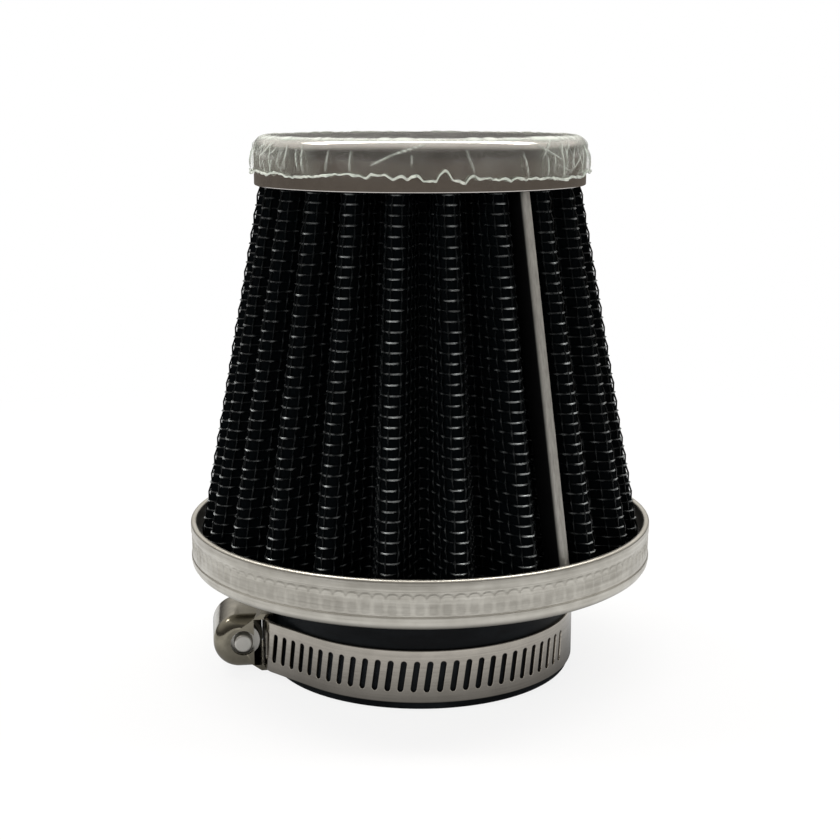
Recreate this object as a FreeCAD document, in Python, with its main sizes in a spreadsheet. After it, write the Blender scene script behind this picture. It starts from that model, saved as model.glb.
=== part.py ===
import FreeCAD, Part
import math
import os
import Sketcher

# A clamp-on cone air filter for a 50 mm carburettor mouth.
# Millimetres. Z runs up the filter's axis from the neck's open end; -Y faces the viewer.
# A bearing is counted in degrees from -Y towards +X.

SIZES = {
    # Rubber neck
    "neck_bore": 50.0,
    "neck_wall": 4.5,
    "neck_drop": 20.4,
    "neck_flange_reach": 3.5,
    "neck_flange_under": 1.2,
    "neck_flange_over": 1.9,
    "neck_groove_depth": 2.2,
    "neck_mouth_round": 0.7,
    # Base ring
    "ring_diameter": 89.4,
    "ring_height": 9.1,
    "ring_sheet": 0.8,
    "ring_bead_round": 1.8,
    "ring_bead_height": 2.4,
    "ring_hem_height": 1.9,
    "ring_hem_thickness": 1.2,
    "ring_hem_round": 0.5,
    "ring_waist_depth": 0.35,
    "ring_bevel": 0.3,
    "flute_count": 120,
    "flute_radius": 2.1,
    "flute_depth": 0.25,
    "flute_foot_margin": 0.4,
    "flute_head_margin": 0.8,
    # Resin beds
    "bed_height": 5.1,
    "bed_inner_diameter": 57.0,
    "cap_bed_depth": 4.7,
    # Pleats
    "pleat_show": 63.8,
    "pleat_count": 22,
    "pleat_depth_share": 0.24,
    "pleat_crowding": 0.19,
    "fold_inside_radius": 0.5,
    "crease_radius": 0.6,
    "mesh_thickness": 0.45,
    "media_thickness": 0.7,
    "lip_gap": 1.3,
    "skirt_gap": 0.2,
    # Seam
    "seam_bearing": 37.4,
    "seam_spread": 1.2,
    "strip_sheet": 0.6,
    "strip_reach": 4.5,
    "strip_round": 0.9,
    "strip_clearance": 0.15,
    # Cap and its film
    "cap_diameter": 62.2,
    "cap_height": 9.0,
    "cap_sheet": 0.6,
    "cap_round": 2.2,
    "film_thickness": 0.2,
    "film_gap": 0.1,
    "film_drop": 6.1,
    "film_slack": 0.6,
    # Hose clamp
    "clamp_bearing": -82.0,
    "band_width": 10.0,
    "band_sheet": 0.6,
    "band_rise": 1.6,
    "band_lift": 0.4,
    "layer_gap": 0.12,
    "bend_radius": 4.0,
    "tail_length": 9.0,
    "slot_pitch": 2.385,
    "slot_length": 5.8,
    "slot_width": 0.92,
    "slot_slant": 8.0,
    "slot_span": 144.6,
    "housing_length": 15.5,
    "housing_sheet": 0.6,
    "housing_clearance": 0.1,
    "housing_wall": 1.4,
    "housing_barrel": 5.2,
    "housing_crown": 5.7,
    "housing_crown_round": 5.0,
    "housing_shoulder": 0.7,
    "housing_edge_round": 2.4,
    "housing_mouth": 2.1,
    "strap_sheet": 0.45,
    "strap_width": 2.4,
    "screw_rise": 4.1,
    "screw_clearance": 0.3,
    "pilot_radius": 1.8,
    "pilot_clearance": 0.65,
    "pilot_reach": 0.4,
    "pilot_round": 0.5,
    "shank_radius": 3.2,
    "throat_radius": 2.3,
    "collar_radius": 3.0,
    "collar_length": 1.5,
    "hex_across": 6.0,
    "hex_length": 3.6,
    "driver_slot_width": 1.1,
    "driver_slot_depth": 1.5,
}

Vector = FreeCAD.Vector
UP = Vector(0, 0, 1)

doc = FreeCAD.newDocument("AirFilter")
sheet = doc.addObject("Spreadsheet::Sheet", "Sizes")


class Size:
    """A length that carries its number and the spreadsheet expression behind it."""

    def __init__(self, value, text):
        self.value = value
        self.text = text

    def join(self, sign, other, value):
        return Size(value, f"({self.text} {sign} {wording(other)})")

    def __add__(self, other):
        return self.join("+", other, self.value + number(other))

    def __sub__(self, other):
        return self.join("-", other, self.value - number(other))

    def __mul__(self, other):
        return self.join("*", other, self.value * number(other))

    def __truediv__(self, other):
        return self.join("/", other, self.value / number(other))

    def __neg__(self):
        return Size(-self.value, f"(0 - {self.text})")


def number(size):
    return size.value if isinstance(size, Size) else float(size)


def wording(size):
    return size.text if isinstance(size, Size) else repr(float(size))


def fill_sheet():
    """Write every driving size into the sheet and hand back the sizes by name."""
    sizes = {}
    for row, (name, value) in enumerate(SIZES.items(), start=1):
        sheet.set(f"A{row}", name)
        sheet.set(f"B{row}", repr(value))
        sheet.setAlias(f"B{row}", name)
        sizes[name] = Size(float(value), f"Sizes.{name}")
    doc.recompute()
    return sizes


S = fill_sheet()


def bind(feature, prop, size):
    """Set a property and tie it to the sheet."""
    setattr(feature, prop, number(size))
    feature.setExpression(prop, wording(size))


def new_body(node):
    body = doc.addObject("PartDesign::Body", node)
    body.Label = node
    return body


def new_sketch(body, name, role, offset=None):
    """Start a sketch on one of the body's own origin planes, lifted off it by an offset if given."""
    sketch = body.newObject("Sketcher::SketchObject", name)
    plane = [item for item in body.Origin.OriginFeatures if item.Role == role][0]
    sketch.AttachmentSupport = [(plane, "")]
    sketch.MapMode = "FlatFace"
    if offset is not None:
        sketch.AttachmentOffset = FreeCAD.Placement(Vector(0, 0, number(offset)), FreeCAD.Rotation())
        sketch.setExpression("AttachmentOffset.Base.z", wording(offset))
    return sketch


def pin(sketch, geometry, point, across, up):
    """Hold one point of a sketch at a place counted from the sketch's origin."""
    for kind, size in (("DistanceX", across), ("DistanceY", up)):
        held = sketch.addConstraint(Sketcher.Constraint(kind, -1, 1, geometry, point, number(size)))
        sketch.setExpression(f"Constraints[{held}]", wording(size))


def step_towards(corner, neighbour, distance):
    """The place that lies a distance from a square corner along the side that leads to its neighbour."""
    across, up = corner[0], corner[1]
    run = number(neighbour[0]) - number(across)
    climb = number(neighbour[1]) - number(up)
    if abs(run) > abs(climb):
        return (across + distance if run > 0 else across - distance), up
    return across, (up + distance if climb > 0 else up - distance)


def stations_of(corners):
    """Turn corners into stations; a corner with a third entry is rounded by that radius."""
    stations = []
    for index, corner in enumerate(corners):
        if len(corner) == 2:
            stations.append((corner[0], corner[1], None))
            continue
        radius = corner[2]
        entry = step_towards(corner, corners[index - 1], radius)
        leave = step_towards(corner, corners[(index + 1) % len(corners)], radius)
        stations.append((entry[0], entry[1], radius))
        stations.append((leave[0], leave[1], None))
    return stations


def add_side(sketch, start, end, corner_before):
    """Add the line or the quarter round between two stations; give back which of its points comes first."""
    first = Vector(number(start[0]), number(start[1]), 0)
    last = Vector(number(end[0]), number(end[1]), 0)
    if start[2] is None:
        sketch.addGeometry(Part.LineSegment(first, last), False)
        return 1
    heading = first - corner_before
    chord = last - first
    turns_left = heading.x * chord.y - heading.y * chord.x > 0
    radius = number(start[2])
    if abs(heading.x) > abs(heading.y):
        centre = Vector(first.x, last.y, 0)
    else:
        centre = Vector(last.x, first.y, 0)
    begin, finish = (first, last) if turns_left else (last, first)
    from_angle = math.atan2(begin.y - centre.y, begin.x - centre.x)
    to_angle = math.atan2(finish.y - centre.y, finish.x - centre.x)
    circle = Part.Circle(centre, UP, radius)
    sketch.addGeometry(Part.ArcOfCircle(circle, from_angle, to_angle), False)
    return 1 if turns_left else 2


def outline(sketch, corners):
    """Draw a closed outline whose corners are all tied to the sheet."""
    stations = stations_of(corners)
    count = len(stations)
    leading = []
    for index, start in enumerate(stations):
        before = stations[index - 1]
        corner_before = Vector(number(before[0]), number(before[1]), 0)
        leading.append(add_side(sketch, start, stations[(index + 1) % count], corner_before))
    for index, start in enumerate(stations):
        following = (index + 1) % count
        trailing = 3 - leading[index]
        sketch.addConstraint(Sketcher.Constraint("Coincident", index, trailing, following, leading[following]))
    for index, start in enumerate(stations):
        pin(sketch, index, leading[index], start[0], start[1])
        if start[2] is not None:
            held = sketch.addConstraint(Sketcher.Constraint("Radius", index, number(start[2])))
            sketch.setExpression(f"Constraints[{held}]", wording(start[2]))
    doc.recompute()
    return sketch


def round_outline(sketch, across, up, radius):
    """Draw a circle tied to the sheet."""
    circle = Part.Circle(Vector(number(across), number(up), 0), UP, number(radius))
    drawn = sketch.addGeometry(circle, False)
    pin(sketch, drawn, 3, across, up)
    held = sketch.addConstraint(Sketcher.Constraint("Radius", drawn, number(radius)))
    sketch.setExpression(f"Constraints[{held}]", wording(radius))
    doc.recompute()
    return sketch


def turned(node, corners):
    """A body turned about the filter's axis from its half section."""
    body = new_body(node)
    section = outline(new_sketch(body, f"{node}_section", "XZ_Plane"), corners)
    turn = body.newObject("PartDesign::Revolution", f"{node}_turn")
    turn.Profile = section
    turn.ReferenceAxis = (section, ["V_Axis"])
    turn.Angle = 360
    doc.recompute()
    return body


def cut(body, sketch, name, length, both_ways=True, backwards=False):
    """Pocket a sketch into a body, evenly both ways from the sketch or to one side of it."""
    pocket = body.newObject("PartDesign::Pocket", name)
    pocket.Profile = sketch
    pocket.Midplane = both_ways
    pocket.Reversed = backwards
    bind(pocket, "Length", length)
    doc.recompute()
    return pocket


def shaped(node, shape):
    piece = doc.addObject("Part::Feature", node)
    piece.Label = node
    piece.Shape = shape
    return piece


# Heights and radii that several pieces share
ring_foot = S["neck_drop"]
ring_floor = ring_foot + S["ring_sheet"]
ring_lip = ring_foot + S["ring_height"]
bed_top = ring_foot + S["bed_height"]
cap_foot = ring_lip + S["pleat_show"]
cap_top = cap_foot + S["cap_height"]
cap_ceiling = cap_top - S["cap_sheet"]
pleat_top = cap_ceiling - S["cap_bed_depth"]

bore_radius = S["neck_bore"] / 2
neck_radius = bore_radius + S["neck_wall"]
flange_radius = neck_radius + S["neck_flange_reach"]
groove_radius = flange_radius - S["neck_groove_depth"]
flange_top = ring_floor + S["neck_flange_over"]

ring_radius = S["ring_diameter"] / 2
waist_radius = ring_radius - S["ring_waist_depth"]
channel_radius = waist_radius - S["ring_sheet"]
lip_radius = ring_radius - S["ring_hem_thickness"]

cap_radius = S["cap_diameter"] / 2
cap_inside = cap_radius - S["cap_sheet"]


def make_neck():
    """The rubber neck, with the groove that grips the ring's floor."""
    mouth = S["neck_mouth_round"]
    under = ring_foot - S["neck_flange_under"]
    return turned("neck_sleeve", [
        (bore_radius, Size(0.0, "0")),
        (neck_radius, Size(0.0, "0"), mouth),
        (neck_radius, under),
        (flange_radius, under),
        (flange_radius, ring_foot),
        (groove_radius, ring_foot),
        (groove_radius, ring_floor),
        (flange_radius, ring_floor),
        (flange_radius, flange_top),
        (bore_radius, flange_top),
    ])


def make_ring():
    """The pressed channel ring: floor, rolled bead, fluted waist and folded hem."""
    waist_foot = ring_foot + S["ring_bead_height"] + S["ring_bevel"]
    hem_foot = ring_lip - S["ring_hem_height"]
    waist_head = hem_foot - S["ring_bevel"]
    body = turned("base_ring", [
        (groove_radius, ring_foot),
        (ring_radius, ring_foot, S["ring_bead_round"]),
        (ring_radius, ring_foot + S["ring_bead_height"]),
        (waist_radius, waist_foot),
        (waist_radius, waist_head),
        (ring_radius, hem_foot),
        (ring_radius, ring_lip, S["ring_hem_round"]),
        (lip_radius, ring_lip, S["ring_hem_round"]),
        (lip_radius, hem_foot),
        (channel_radius, waist_head),
        (channel_radius, ring_floor),
        (groove_radius, ring_floor),
    ])
    flute_foot = waist_foot + S["flute_foot_margin"]
    flute_head = waist_head - S["flute_head_margin"]
    middle = (flute_foot + flute_head) / 2
    sketch = new_sketch(body, "flute_round", "XY_Plane", middle)
    centre = waist_radius + S["flute_radius"] - S["flute_depth"]
    round_outline(sketch, centre, Size(0.0, "0"), S["flute_radius"])
    flute = cut(body, sketch, "flute", flute_head - flute_foot)
    pattern = body.newObject("PartDesign::PolarPattern", "flutes")
    pattern.Originals = [flute]
    pattern.Axis = (sketch, ["N_Axis"])
    pattern.Angle = 360
    pattern.Occurrences = int(number(S["flute_count"]))
    pattern.setExpression("Occurrences", wording(S["flute_count"]))
    body.Tip = pattern
    doc.recompute()
    return body


def make_base_potting():
    """The resin bed in the ring, cast round and over the neck's upper flange."""
    bed_inside = S["bed_inner_diameter"] / 2
    return turned("base_potting", [
        (flange_radius, ring_floor),
        (channel_radius, ring_floor),
        (channel_radius, bed_top),
        (bed_inside, bed_top),
        (bed_inside, flange_top),
        (flange_radius, flange_top),
    ])


def make_cap():
    """The pressed cup at the narrow end."""
    axis = Size(0.0, "0")
    return turned("end_cap", [
        (axis, cap_ceiling),
        (cap_inside, cap_ceiling, S["cap_round"] - S["cap_sheet"]),
        (cap_inside, cap_foot),
        (cap_radius, cap_foot),
        (cap_radius, cap_top, S["cap_round"]),
        (axis, cap_top),
    ])


def make_cap_potting():
    """The resin that fills the cap down to the pleats."""
    axis = Size(0.0, "0")
    return turned("cap_potting", [
        (axis, pleat_top),
        (cap_inside, pleat_top),
        (cap_inside, cap_ceiling, S["cap_round"] - S["cap_sheet"]),
        (axis, cap_ceiling),
    ])


def make_film():
    """The clear film over the cap; its skirt stands off the cap towards its torn edge."""
    axis = Size(0.0, "0")
    inside_top = cap_top + S["film_gap"]
    outside_top = inside_top + S["film_thickness"]
    inside = cap_radius + S["film_gap"]
    outside = inside + S["film_thickness"]
    shoulder = cap_top - S["cap_round"] - S["film_gap"]
    edge = cap_top - S["film_drop"]
    shoulder_round = S["cap_round"] + S["film_gap"]
    return turned("cap_film", [
        (axis, inside_top),
        (inside, inside_top, shoulder_round),
        (inside, shoulder),
        (inside + S["film_slack"], edge),
        (outside + S["film_slack"], edge),
        (outside, shoulder),
        (outside, outside_top, shoulder_round + S["film_thickness"]),
        (axis, outside_top),
    ])


def radial(bearing):
    """The level direction that points out at a bearing."""
    angle = math.radians(bearing)
    return Vector(math.sin(angle), -math.cos(angle), 0)


def ridge_radius(height):
    """The pleats' outer radius: a cone from inside the ring's lip to inside the cap's skirt."""
    foot = number(lip_radius - S["lip_gap"])
    head = number(cap_inside - S["skirt_gap"])
    rise = (height - number(ring_lip)) / number(S["pleat_show"])
    return foot + (head - foot) * rise


def ridge_bearings():
    """Where the ridges stand, going round from the seam; hand-set pleats crowd and spread twice round."""
    count = int(number(S["pleat_count"]))
    seam = number(S["seam_bearing"])
    seam_gap = 360.0 / count * number(S["seam_spread"])
    pitch = (360.0 - seam_gap) / (count - 1)
    sway = number(S["pleat_crowding"]) * pitch
    bearings = []
    for index in range(count):
        turn = 4.0 * math.pi * index / (count - 1)
        bearings.append(seam + seam_gap / 2 + index * pitch + sway * math.sin(turn))
    return bearings


class Fold:
    """One fold of the outline: its centre, its radius on the outer face, and whether it is a ridge."""

    def __init__(self, centre, radius, ridge):
        self.centre = centre
        self.radius = radius
        self.ridge = ridge

    def radius_at(self, depth):
        return self.radius - depth if self.ridge else self.radius + depth

    def point(self, normal, depth):
        """The point of the fold whose outward normal is given, a depth below the outer face."""
        reach = self.radius_at(depth)
        return self.centre + normal * (reach if self.ridge else -reach)


def folds_at(height):
    """The folds from one side of the seam round to the other, at one height."""
    ridge_out = ridge_radius(height)
    crease_out = ridge_out * (1.0 - number(S["pleat_depth_share"]))
    stack = 2 * number(S["mesh_thickness"]) + number(S["media_thickness"])
    ridge_round = number(S["fold_inside_radius"]) + stack
    crease_round = number(S["crease_radius"])
    crease_centre = crease_out + crease_round
    seam = number(S["seam_bearing"])
    beside = number(S["mesh_thickness"]) + crease_round
    step = math.degrees(math.asin(beside / crease_centre))
    bearings = ridge_bearings()
    folds = [Fold(radial(seam + step) * crease_centre, crease_round, False)]
    for index, bearing in enumerate(bearings):
        folds.append(Fold(radial(bearing) * (ridge_out - ridge_round), ridge_round, True))
        if index + 1 < len(bearings):
            between = (bearing + bearings[index + 1]) / 2
            folds.append(Fold(radial(between) * crease_centre, crease_round, False))
    folds.append(Fold(radial(seam - step) * crease_centre, crease_round, False))
    for fold in folds:
        fold.centre.z = height
    return folds


def flank_normal(fold, following):
    """The outward normal of the flat flank between two neighbouring folds."""
    span = following.centre - fold.centre
    along = Vector(span)
    along.normalize()
    outward = Vector(fold.centre.x + following.centre.x, fold.centre.y + following.centre.y, 0)
    aside = UP.cross(along)
    if aside.dot(outward) < 0:
        aside = aside * -1
    lean = math.acos((fold.radius + following.radius) / span.Length)
    towards = 1 if fold.ridge else -1
    return along * (math.cos(lean) * towards) + aside * math.sin(lean)


def line(start, end):
    return Part.LineSegment(start, end).toShape()


def pleat_wire(height, depth, fin_tip=None):
    """The closed pleat outline at one height; with a fin tip the cloth's ends stand out at the seam."""
    folds = folds_at(height)
    seam_out = radial(number(S["seam_bearing"]))
    seam_aside = UP.cross(seam_out)
    flanks = [flank_normal(fold, folds[index + 1]) for index, fold in enumerate(folds[:-1])]
    first_normal = seam_out if fin_tip is None else seam_aside
    last_normal = seam_out if fin_tip is None else seam_aside * -1
    normals = [first_normal] + flanks + [last_normal]
    edges = []
    for index, fold in enumerate(folds):
        enter = fold.point(normals[index], depth)
        leave = fold.point(normals[index + 1], depth)
        middle = normals[index] + normals[index + 1]
        middle.normalize()
        edges.append(Part.Arc(enter, fold.point(middle, depth), leave).toShape())
        if index + 1 < len(folds):
            edges.append(line(leave, folds[index + 1].point(normals[index + 1], depth)))
    begin = folds[0].point(first_normal, depth)
    end = folds[-1].point(last_normal, depth)
    if fin_tip is None:
        edges.append(line(end, begin))
        return Part.Wire(edges)
    half = seam_aside * number(S["mesh_thickness"])
    tip = seam_out * fin_tip + UP * height
    edges.append(line(end, tip - half))
    edges.append(line(tip - half, tip + half))
    edges.append(line(tip + half, begin))
    return Part.Wire(edges)


def fin_tip_at(height):
    return ridge_radius(height) - number(S["strip_sheet"]) - number(S["strip_clearance"])


def pleat_core(depth, fin):
    """Everything inside the pleat surface that lies a depth below the outer mesh's outer face."""
    wires = []
    for height in (number(bed_top), number(pleat_top)):
        wires.append(pleat_wire(height, depth, fin_tip_at(height) if fin else None))
    return Part.makeLoft(wires, True, True)


def make_pleats():
    """The three pleated layers, nested face to face."""
    mesh = number(S["mesh_thickness"])
    media = number(S["media_thickness"])
    depths = [0.0, mesh, mesh + media, 2 * mesh + media]
    cores = [pleat_core(depth, depth == 0.0) for depth in depths]
    nodes = ["outer_mesh", "filter_media", "inner_mesh"]
    return [shaped(node, cores[index].cut(cores[index + 1])) for index, node in enumerate(nodes)]


def make_strip():
    """The folded strip over the seam's fin, drawn on +X and turned to the seam."""
    body = new_body("seam_strip")
    gap = S["mesh_thickness"] + S["strip_clearance"]
    half = gap + S["strip_sheet"]
    fall = (lip_radius - S["lip_gap"] - cap_inside + S["skirt_gap"]) / S["pleat_show"]
    top = lip_radius - S["lip_gap"] + fall * (ring_lip - bed_top)
    floor = top - S["strip_sheet"]
    foot = top - S["strip_reach"]
    sketch = outline(new_sketch(body, "strip_section", "XY_Plane", bed_top), [
        (foot, -half),
        (top, -half, S["strip_round"]),
        (top, half, S["strip_round"]),
        (foot, half),
        (foot, gap),
        (floor, gap),
        (floor, -gap),
        (foot, -gap),
    ])
    pad = body.newObject("PartDesign::Pad", "strip_run")
    pad.Profile = sketch
    pad.UseCustomVector = True
    pad.AlongSketchNormal = True
    pad.Direction = Vector(-number(fall), 0, 1)
    pad.setExpression("Direction.x", wording(-fall))
    bind(pad, "Length", pleat_top - bed_top)
    doc.recompute()
    body.Placement = FreeCAD.Placement(Vector(), FreeCAD.Rotation(UP, number(S["seam_bearing"]) - 90.0))
    return body


# The clamp is drawn with its housing on +X and its screw along Y, then turned to its bearing.
clamp_turn = FreeCAD.Placement(Vector(), FreeCAD.Rotation(UP, number(S["clamp_bearing"]) - 90.0))
band_middle = S["band_rise"] + S["band_width"] / 2
inner_layer = neck_radius + S["band_lift"]
outer_layer = inner_layer + S["band_sheet"] + S["layer_gap"]
band_face = outer_layer + S["band_sheet"]
screw_axis = band_face + S["screw_rise"]
flat_half = S["housing_length"] / 2 + S["screw_clearance"]


def lift_off(layer):
    """The angle at which the band leaves the neck so that it bends flat into the housing."""
    bend = number(S["bend_radius"])
    across = number(layer) - bend
    along = number(flat_half)
    reach = math.hypot(across, along)
    return math.atan2(along, across) + math.acos((number(neck_radius) - bend) / reach)


def arc_about(centre, radius, start, end):
    """An arc about a centre from one angle to another."""
    places = []
    for angle in (start, (start + end) / 2, end):
        places.append(centre + Vector(math.cos(angle), math.sin(angle), 0) * radius)
    return Part.Arc(*places).toShape()


def band_rail(lift):
    """The band's path from its start in the housing, once round the neck and out as the tail."""
    bend = number(S["bend_radius"])
    half = number(flat_half)
    inner = number(inner_layer)
    outer = number(outer_layer)
    neck = number(neck_radius) + lift
    back = lift_off(inner_layer)
    front = lift_off(outer_layer)
    rear_bend = Vector(inner - bend, -half, 0)
    front_bend = Vector(outer - bend, half, 0)
    start = Vector(inner + lift, half - number(S["screw_clearance"]), 0)
    around = arc_about(Vector(), neck, -back, front - 2 * math.pi)
    leave = arc_about(rear_bend, bend + lift, 0.0, -back)
    arrive = arc_about(front_bend, bend + lift, front, 0.0)
    tail_bend = arc_about(rear_bend, bend + outer - inner + lift, 0.0, -back)
    tail_from = tail_bend.lastVertex().Point
    tail_heading = Vector(-math.sin(back), -math.cos(back), 0)
    runs = [leave, around, arrive, tail_bend]
    edges = []
    place = start
    for run in runs:
        edges.append(line(place, run.valueAt(run.FirstParameter)))
        edges.append(run)
        place = run.valueAt(run.LastParameter)
    edges.append(line(tail_from, tail_from + tail_heading * number(S["tail_length"])))
    return edges


def slot_cutter(place, heading):
    """A slanted round-ended cutter that passes through one layer of the band."""
    half = number(S["slot_length"]) / 2 - number(S["slot_width"]) / 2
    radius = number(S["slot_width"]) / 2
    below = number(S["band_sheet"]) / 2 + number(S["layer_gap"]) / 2
    depth = below * 2
    corners = [Vector(-radius, -half, 0), Vector(radius, -half, 0), Vector(radius, half, 0), Vector(-radius, half, 0)]
    edges = [
        Part.Arc(corners[0], Vector(0, -half - radius, 0), corners[1]).toShape(),
        line(corners[1], corners[2]),
        Part.Arc(corners[2], Vector(0, half + radius, 0), corners[3]).toShape(),
        line(corners[3], corners[0]),
    ]
    blade = Part.Face(Part.Wire(edges)).extrude(UP * depth)
    outward = UP.cross(heading)
    blade.rotate(Vector(), UP, -number(S["slot_slant"]))
    frame = FreeCAD.Matrix()
    frame.A11, frame.A21, frame.A31 = -heading.x, -heading.y, -heading.z
    frame.A12, frame.A22, frame.A32 = 0, 0, 1
    frame.A13, frame.A23, frame.A33 = outward.x, outward.y, outward.z
    centre = place - outward * below
    frame.A14, frame.A24, frame.A34 = centre.x, centre.y, number(band_middle)
    blade.transformShape(frame, True)
    return blade


def slot_cutters():
    """Slots at an even pitch along the band, from the plain stretch to near the tail's end."""
    rail = band_rail(number(S["band_sheet"]) / 2)
    ring_run = rail[3]
    ahead = sum(edge.Length for edge in rail[:3])
    open_angle = math.radians(number(S["slot_span"])) - lift_off(outer_layer)
    radius = number(neck_radius) + number(S["band_sheet"]) / 2
    station = ahead + ring_run.Length - open_angle * radius
    pitch = number(S["slot_pitch"])
    end = sum(edge.Length for edge in rail) - pitch
    cutters = []
    while station < end:
        along = station
        index = 0
        while along > rail[index].Length:
            along -= rail[index].Length
            index += 1
        edge = rail[index]
        parameter = edge.getParameterByLength(along)
        heading = edge.tangentAt(parameter)
        cutters.append(slot_cutter(edge.valueAt(parameter), heading))
        station += pitch
    return cutters


def make_band():
    """The slotted band, one strip from its start in the housing to its free tail."""
    inside = band_rail(0.0)
    outside = band_rail(number(S["band_sheet"]))
    start = line(inside[0].firstVertex().Point, outside[0].firstVertex().Point)
    end = line(inside[-1].lastVertex().Point, outside[-1].lastVertex().Point)
    rim = Part.Wire(Part.__sortEdges__(inside + outside + [start, end]))
    strip = Part.Face(rim).extrude(UP * number(S["band_width"]))
    strip.translate(UP * number(S["band_rise"]))
    piece = shaped("clamp_band", strip.cut(slot_cutters()))
    piece.Placement = clamp_turn
    return piece


def make_housing():
    """The pressed housing: an arch over the screw with straps folded under the band's start."""
    body = new_body("clamp_housing")
    middle = band_middle
    passage = S["band_width"] / 2 + S["housing_clearance"]
    leg = passage + S["housing_sheet"]
    strap = inner_layer - S["strap_sheet"]
    barrel = S["housing_barrel"]
    ceiling = band_face + S["layer_gap"]
    shoulder = ceiling + S["housing_sheet"]
    neckline = shoulder + S["housing_shoulder"]
    crown = screw_axis + S["housing_crown"]
    inside_barrel = barrel - S["housing_sheet"]
    inside_crown = crown - S["housing_sheet"]
    inside_round = S["housing_crown_round"] - S["housing_sheet"]
    arch = outline(new_sketch(body, "arch", "XZ_Plane"), [
        (strap, middle - leg),
        (strap, middle + leg),
        (shoulder, middle + leg),
        (neckline, middle + barrel),
        (crown, middle + barrel, S["housing_crown_round"]),
        (crown, middle - barrel, S["housing_crown_round"]),
        (neckline, middle - barrel),
        (shoulder, middle - leg),
    ])
    pad = body.newObject("PartDesign::Pad", "housing_run")
    pad.Profile = arch
    pad.Midplane = True
    bind(pad, "Length", S["housing_length"])
    doc.recompute()
    round_end_edges(body, number(S["housing_length"]) / 2, number(neckline))
    tunnel = outline(new_sketch(body, "tunnel", "XZ_Plane"), [
        (band_face, middle - inside_barrel),
        (inside_crown, middle - inside_barrel, inside_round),
        (inside_crown, middle + inside_barrel, inside_round),
        (band_face, middle + inside_barrel),
    ])
    cut(body, tunnel, "tunnel_cut", S["housing_length"] - S["housing_wall"] * 2)
    slit = outline(new_sketch(body, "passage", "XZ_Plane"), [
        (inner_layer, middle - passage),
        (ceiling, middle - passage),
        (ceiling, middle + passage),
        (inner_layer, middle + passage),
    ])
    cut(body, slit, "passage_cut", S["housing_length"] + S["housing_wall"])
    window = outline(new_sketch(body, "underside", "XZ_Plane"), [
        (strap - S["strap_sheet"], middle - leg - S["housing_sheet"]),
        (inner_layer, middle - leg - S["housing_sheet"]),
        (inner_layer, middle + leg + S["housing_sheet"]),
        (strap - S["strap_sheet"], middle + leg + S["housing_sheet"]),
    ])
    cut(body, window, "underside_cut", S["housing_length"] - S["strap_width"] * 2)
    mouth = outline(new_sketch(body, "mouth", "XZ_Plane"), [
        (band_face, middle - inside_barrel),
        (band_face + S["housing_mouth"], middle - inside_barrel),
        (band_face + S["housing_mouth"], middle + inside_barrel),
        (band_face, middle + inside_barrel),
    ])
    cut(body, mouth, "mouth_cut", S["housing_length"], both_ways=False)
    pilot = new_sketch(body, "pilot_round", "XZ_Plane")
    round_outline(pilot, screw_axis, middle, S["pilot_radius"] + S["pilot_clearance"])
    cut(body, pilot, "pilot_cut", S["housing_length"], both_ways=False)
    throat = new_sketch(body, "throat_round", "XZ_Plane")
    round_outline(throat, screw_axis, middle, S["throat_radius"] + S["screw_clearance"])
    cut(body, throat, "throat_cut", S["housing_length"], both_ways=False, backwards=True)
    body.Placement = clamp_turn
    return body


def round_end_edges(body, half_length, above):
    """Ease the pressed edges round both ends of the arch, leaving its legs square."""
    base = body.Tip
    named = []
    for index, edge in enumerate(base.Shape.Edges, start=1):
        box = edge.BoundBox
        at_end = abs(abs(box.YMin) - half_length) < 1e-6 and box.YLength < 1e-6
        if at_end and box.XMax > above + 1e-6:
            named.append(f"Edge{index}")
    fillet = body.newObject("PartDesign::Fillet", "eased_ends")
    fillet.Base = (base, named)
    bind(fillet, "Radius", S["housing_edge_round"])
    doc.recompute()


def make_screw():
    """The clamp screw: pilot tip, worm shank, throat through the rear wall, collar and slotted hexagon."""
    body = new_body("clamp_screw")
    axis = Size(0.0, "0")
    play = S["screw_clearance"]
    half = S["housing_length"] / 2
    tip = -half - S["pilot_reach"]
    wall = half - S["housing_wall"]
    collar_start = half + play
    collar_end = collar_start + S["collar_length"]
    section = outline(new_sketch(body, "screw_section", "XZ_Plane"), [
        (axis, tip),
        (S["pilot_radius"], tip, S["pilot_round"]),
        (S["pilot_radius"], play - wall),
        (S["shank_radius"], play - wall),
        (S["shank_radius"], wall - play),
        (S["throat_radius"], wall - play),
        (S["throat_radius"], collar_start),
        (S["collar_radius"], collar_start),
        (S["collar_radius"], collar_end),
        (axis, collar_end),
    ])
    turn = body.newObject("PartDesign::Revolution", "screw_turn")
    turn.Profile = section
    turn.ReferenceAxis = (section, ["V_Axis"])
    turn.Angle = 360
    doc.recompute()
    flat = S["hex_across"] / 2
    corner = S["hex_across"] / math.sqrt(3.0)
    hexagon = outline(new_sketch(body, "hexagon", "XY_Plane", collar_end), [
        (corner, axis),
        (corner / 2, flat),
        (-corner / 2, flat),
        (-corner, axis),
        (-corner / 2, -flat),
        (corner / 2, -flat),
    ])
    head = body.newObject("PartDesign::Pad", "hex_head")
    head.Profile = hexagon
    bind(head, "Length", S["hex_length"])
    doc.recompute()
    head_end = collar_end + S["hex_length"]
    breadth = S["driver_slot_width"] / 2
    slot = outline(new_sketch(body, "driver_slot", "XY_Plane", head_end), [
        (-corner, -breadth),
        (corner, -breadth),
        (corner, breadth),
        (-corner, breadth),
    ])
    cut(body, slot, "driver_slot_cut", S["driver_slot_depth"], both_ways=False)
    along = FreeCAD.Rotation(Vector(1, 0, 0), 90.0)
    seat = FreeCAD.Placement(Vector(number(screw_axis), 0, number(band_middle)), along)
    body.Placement = clamp_turn.multiply(seat)
    return body


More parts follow.
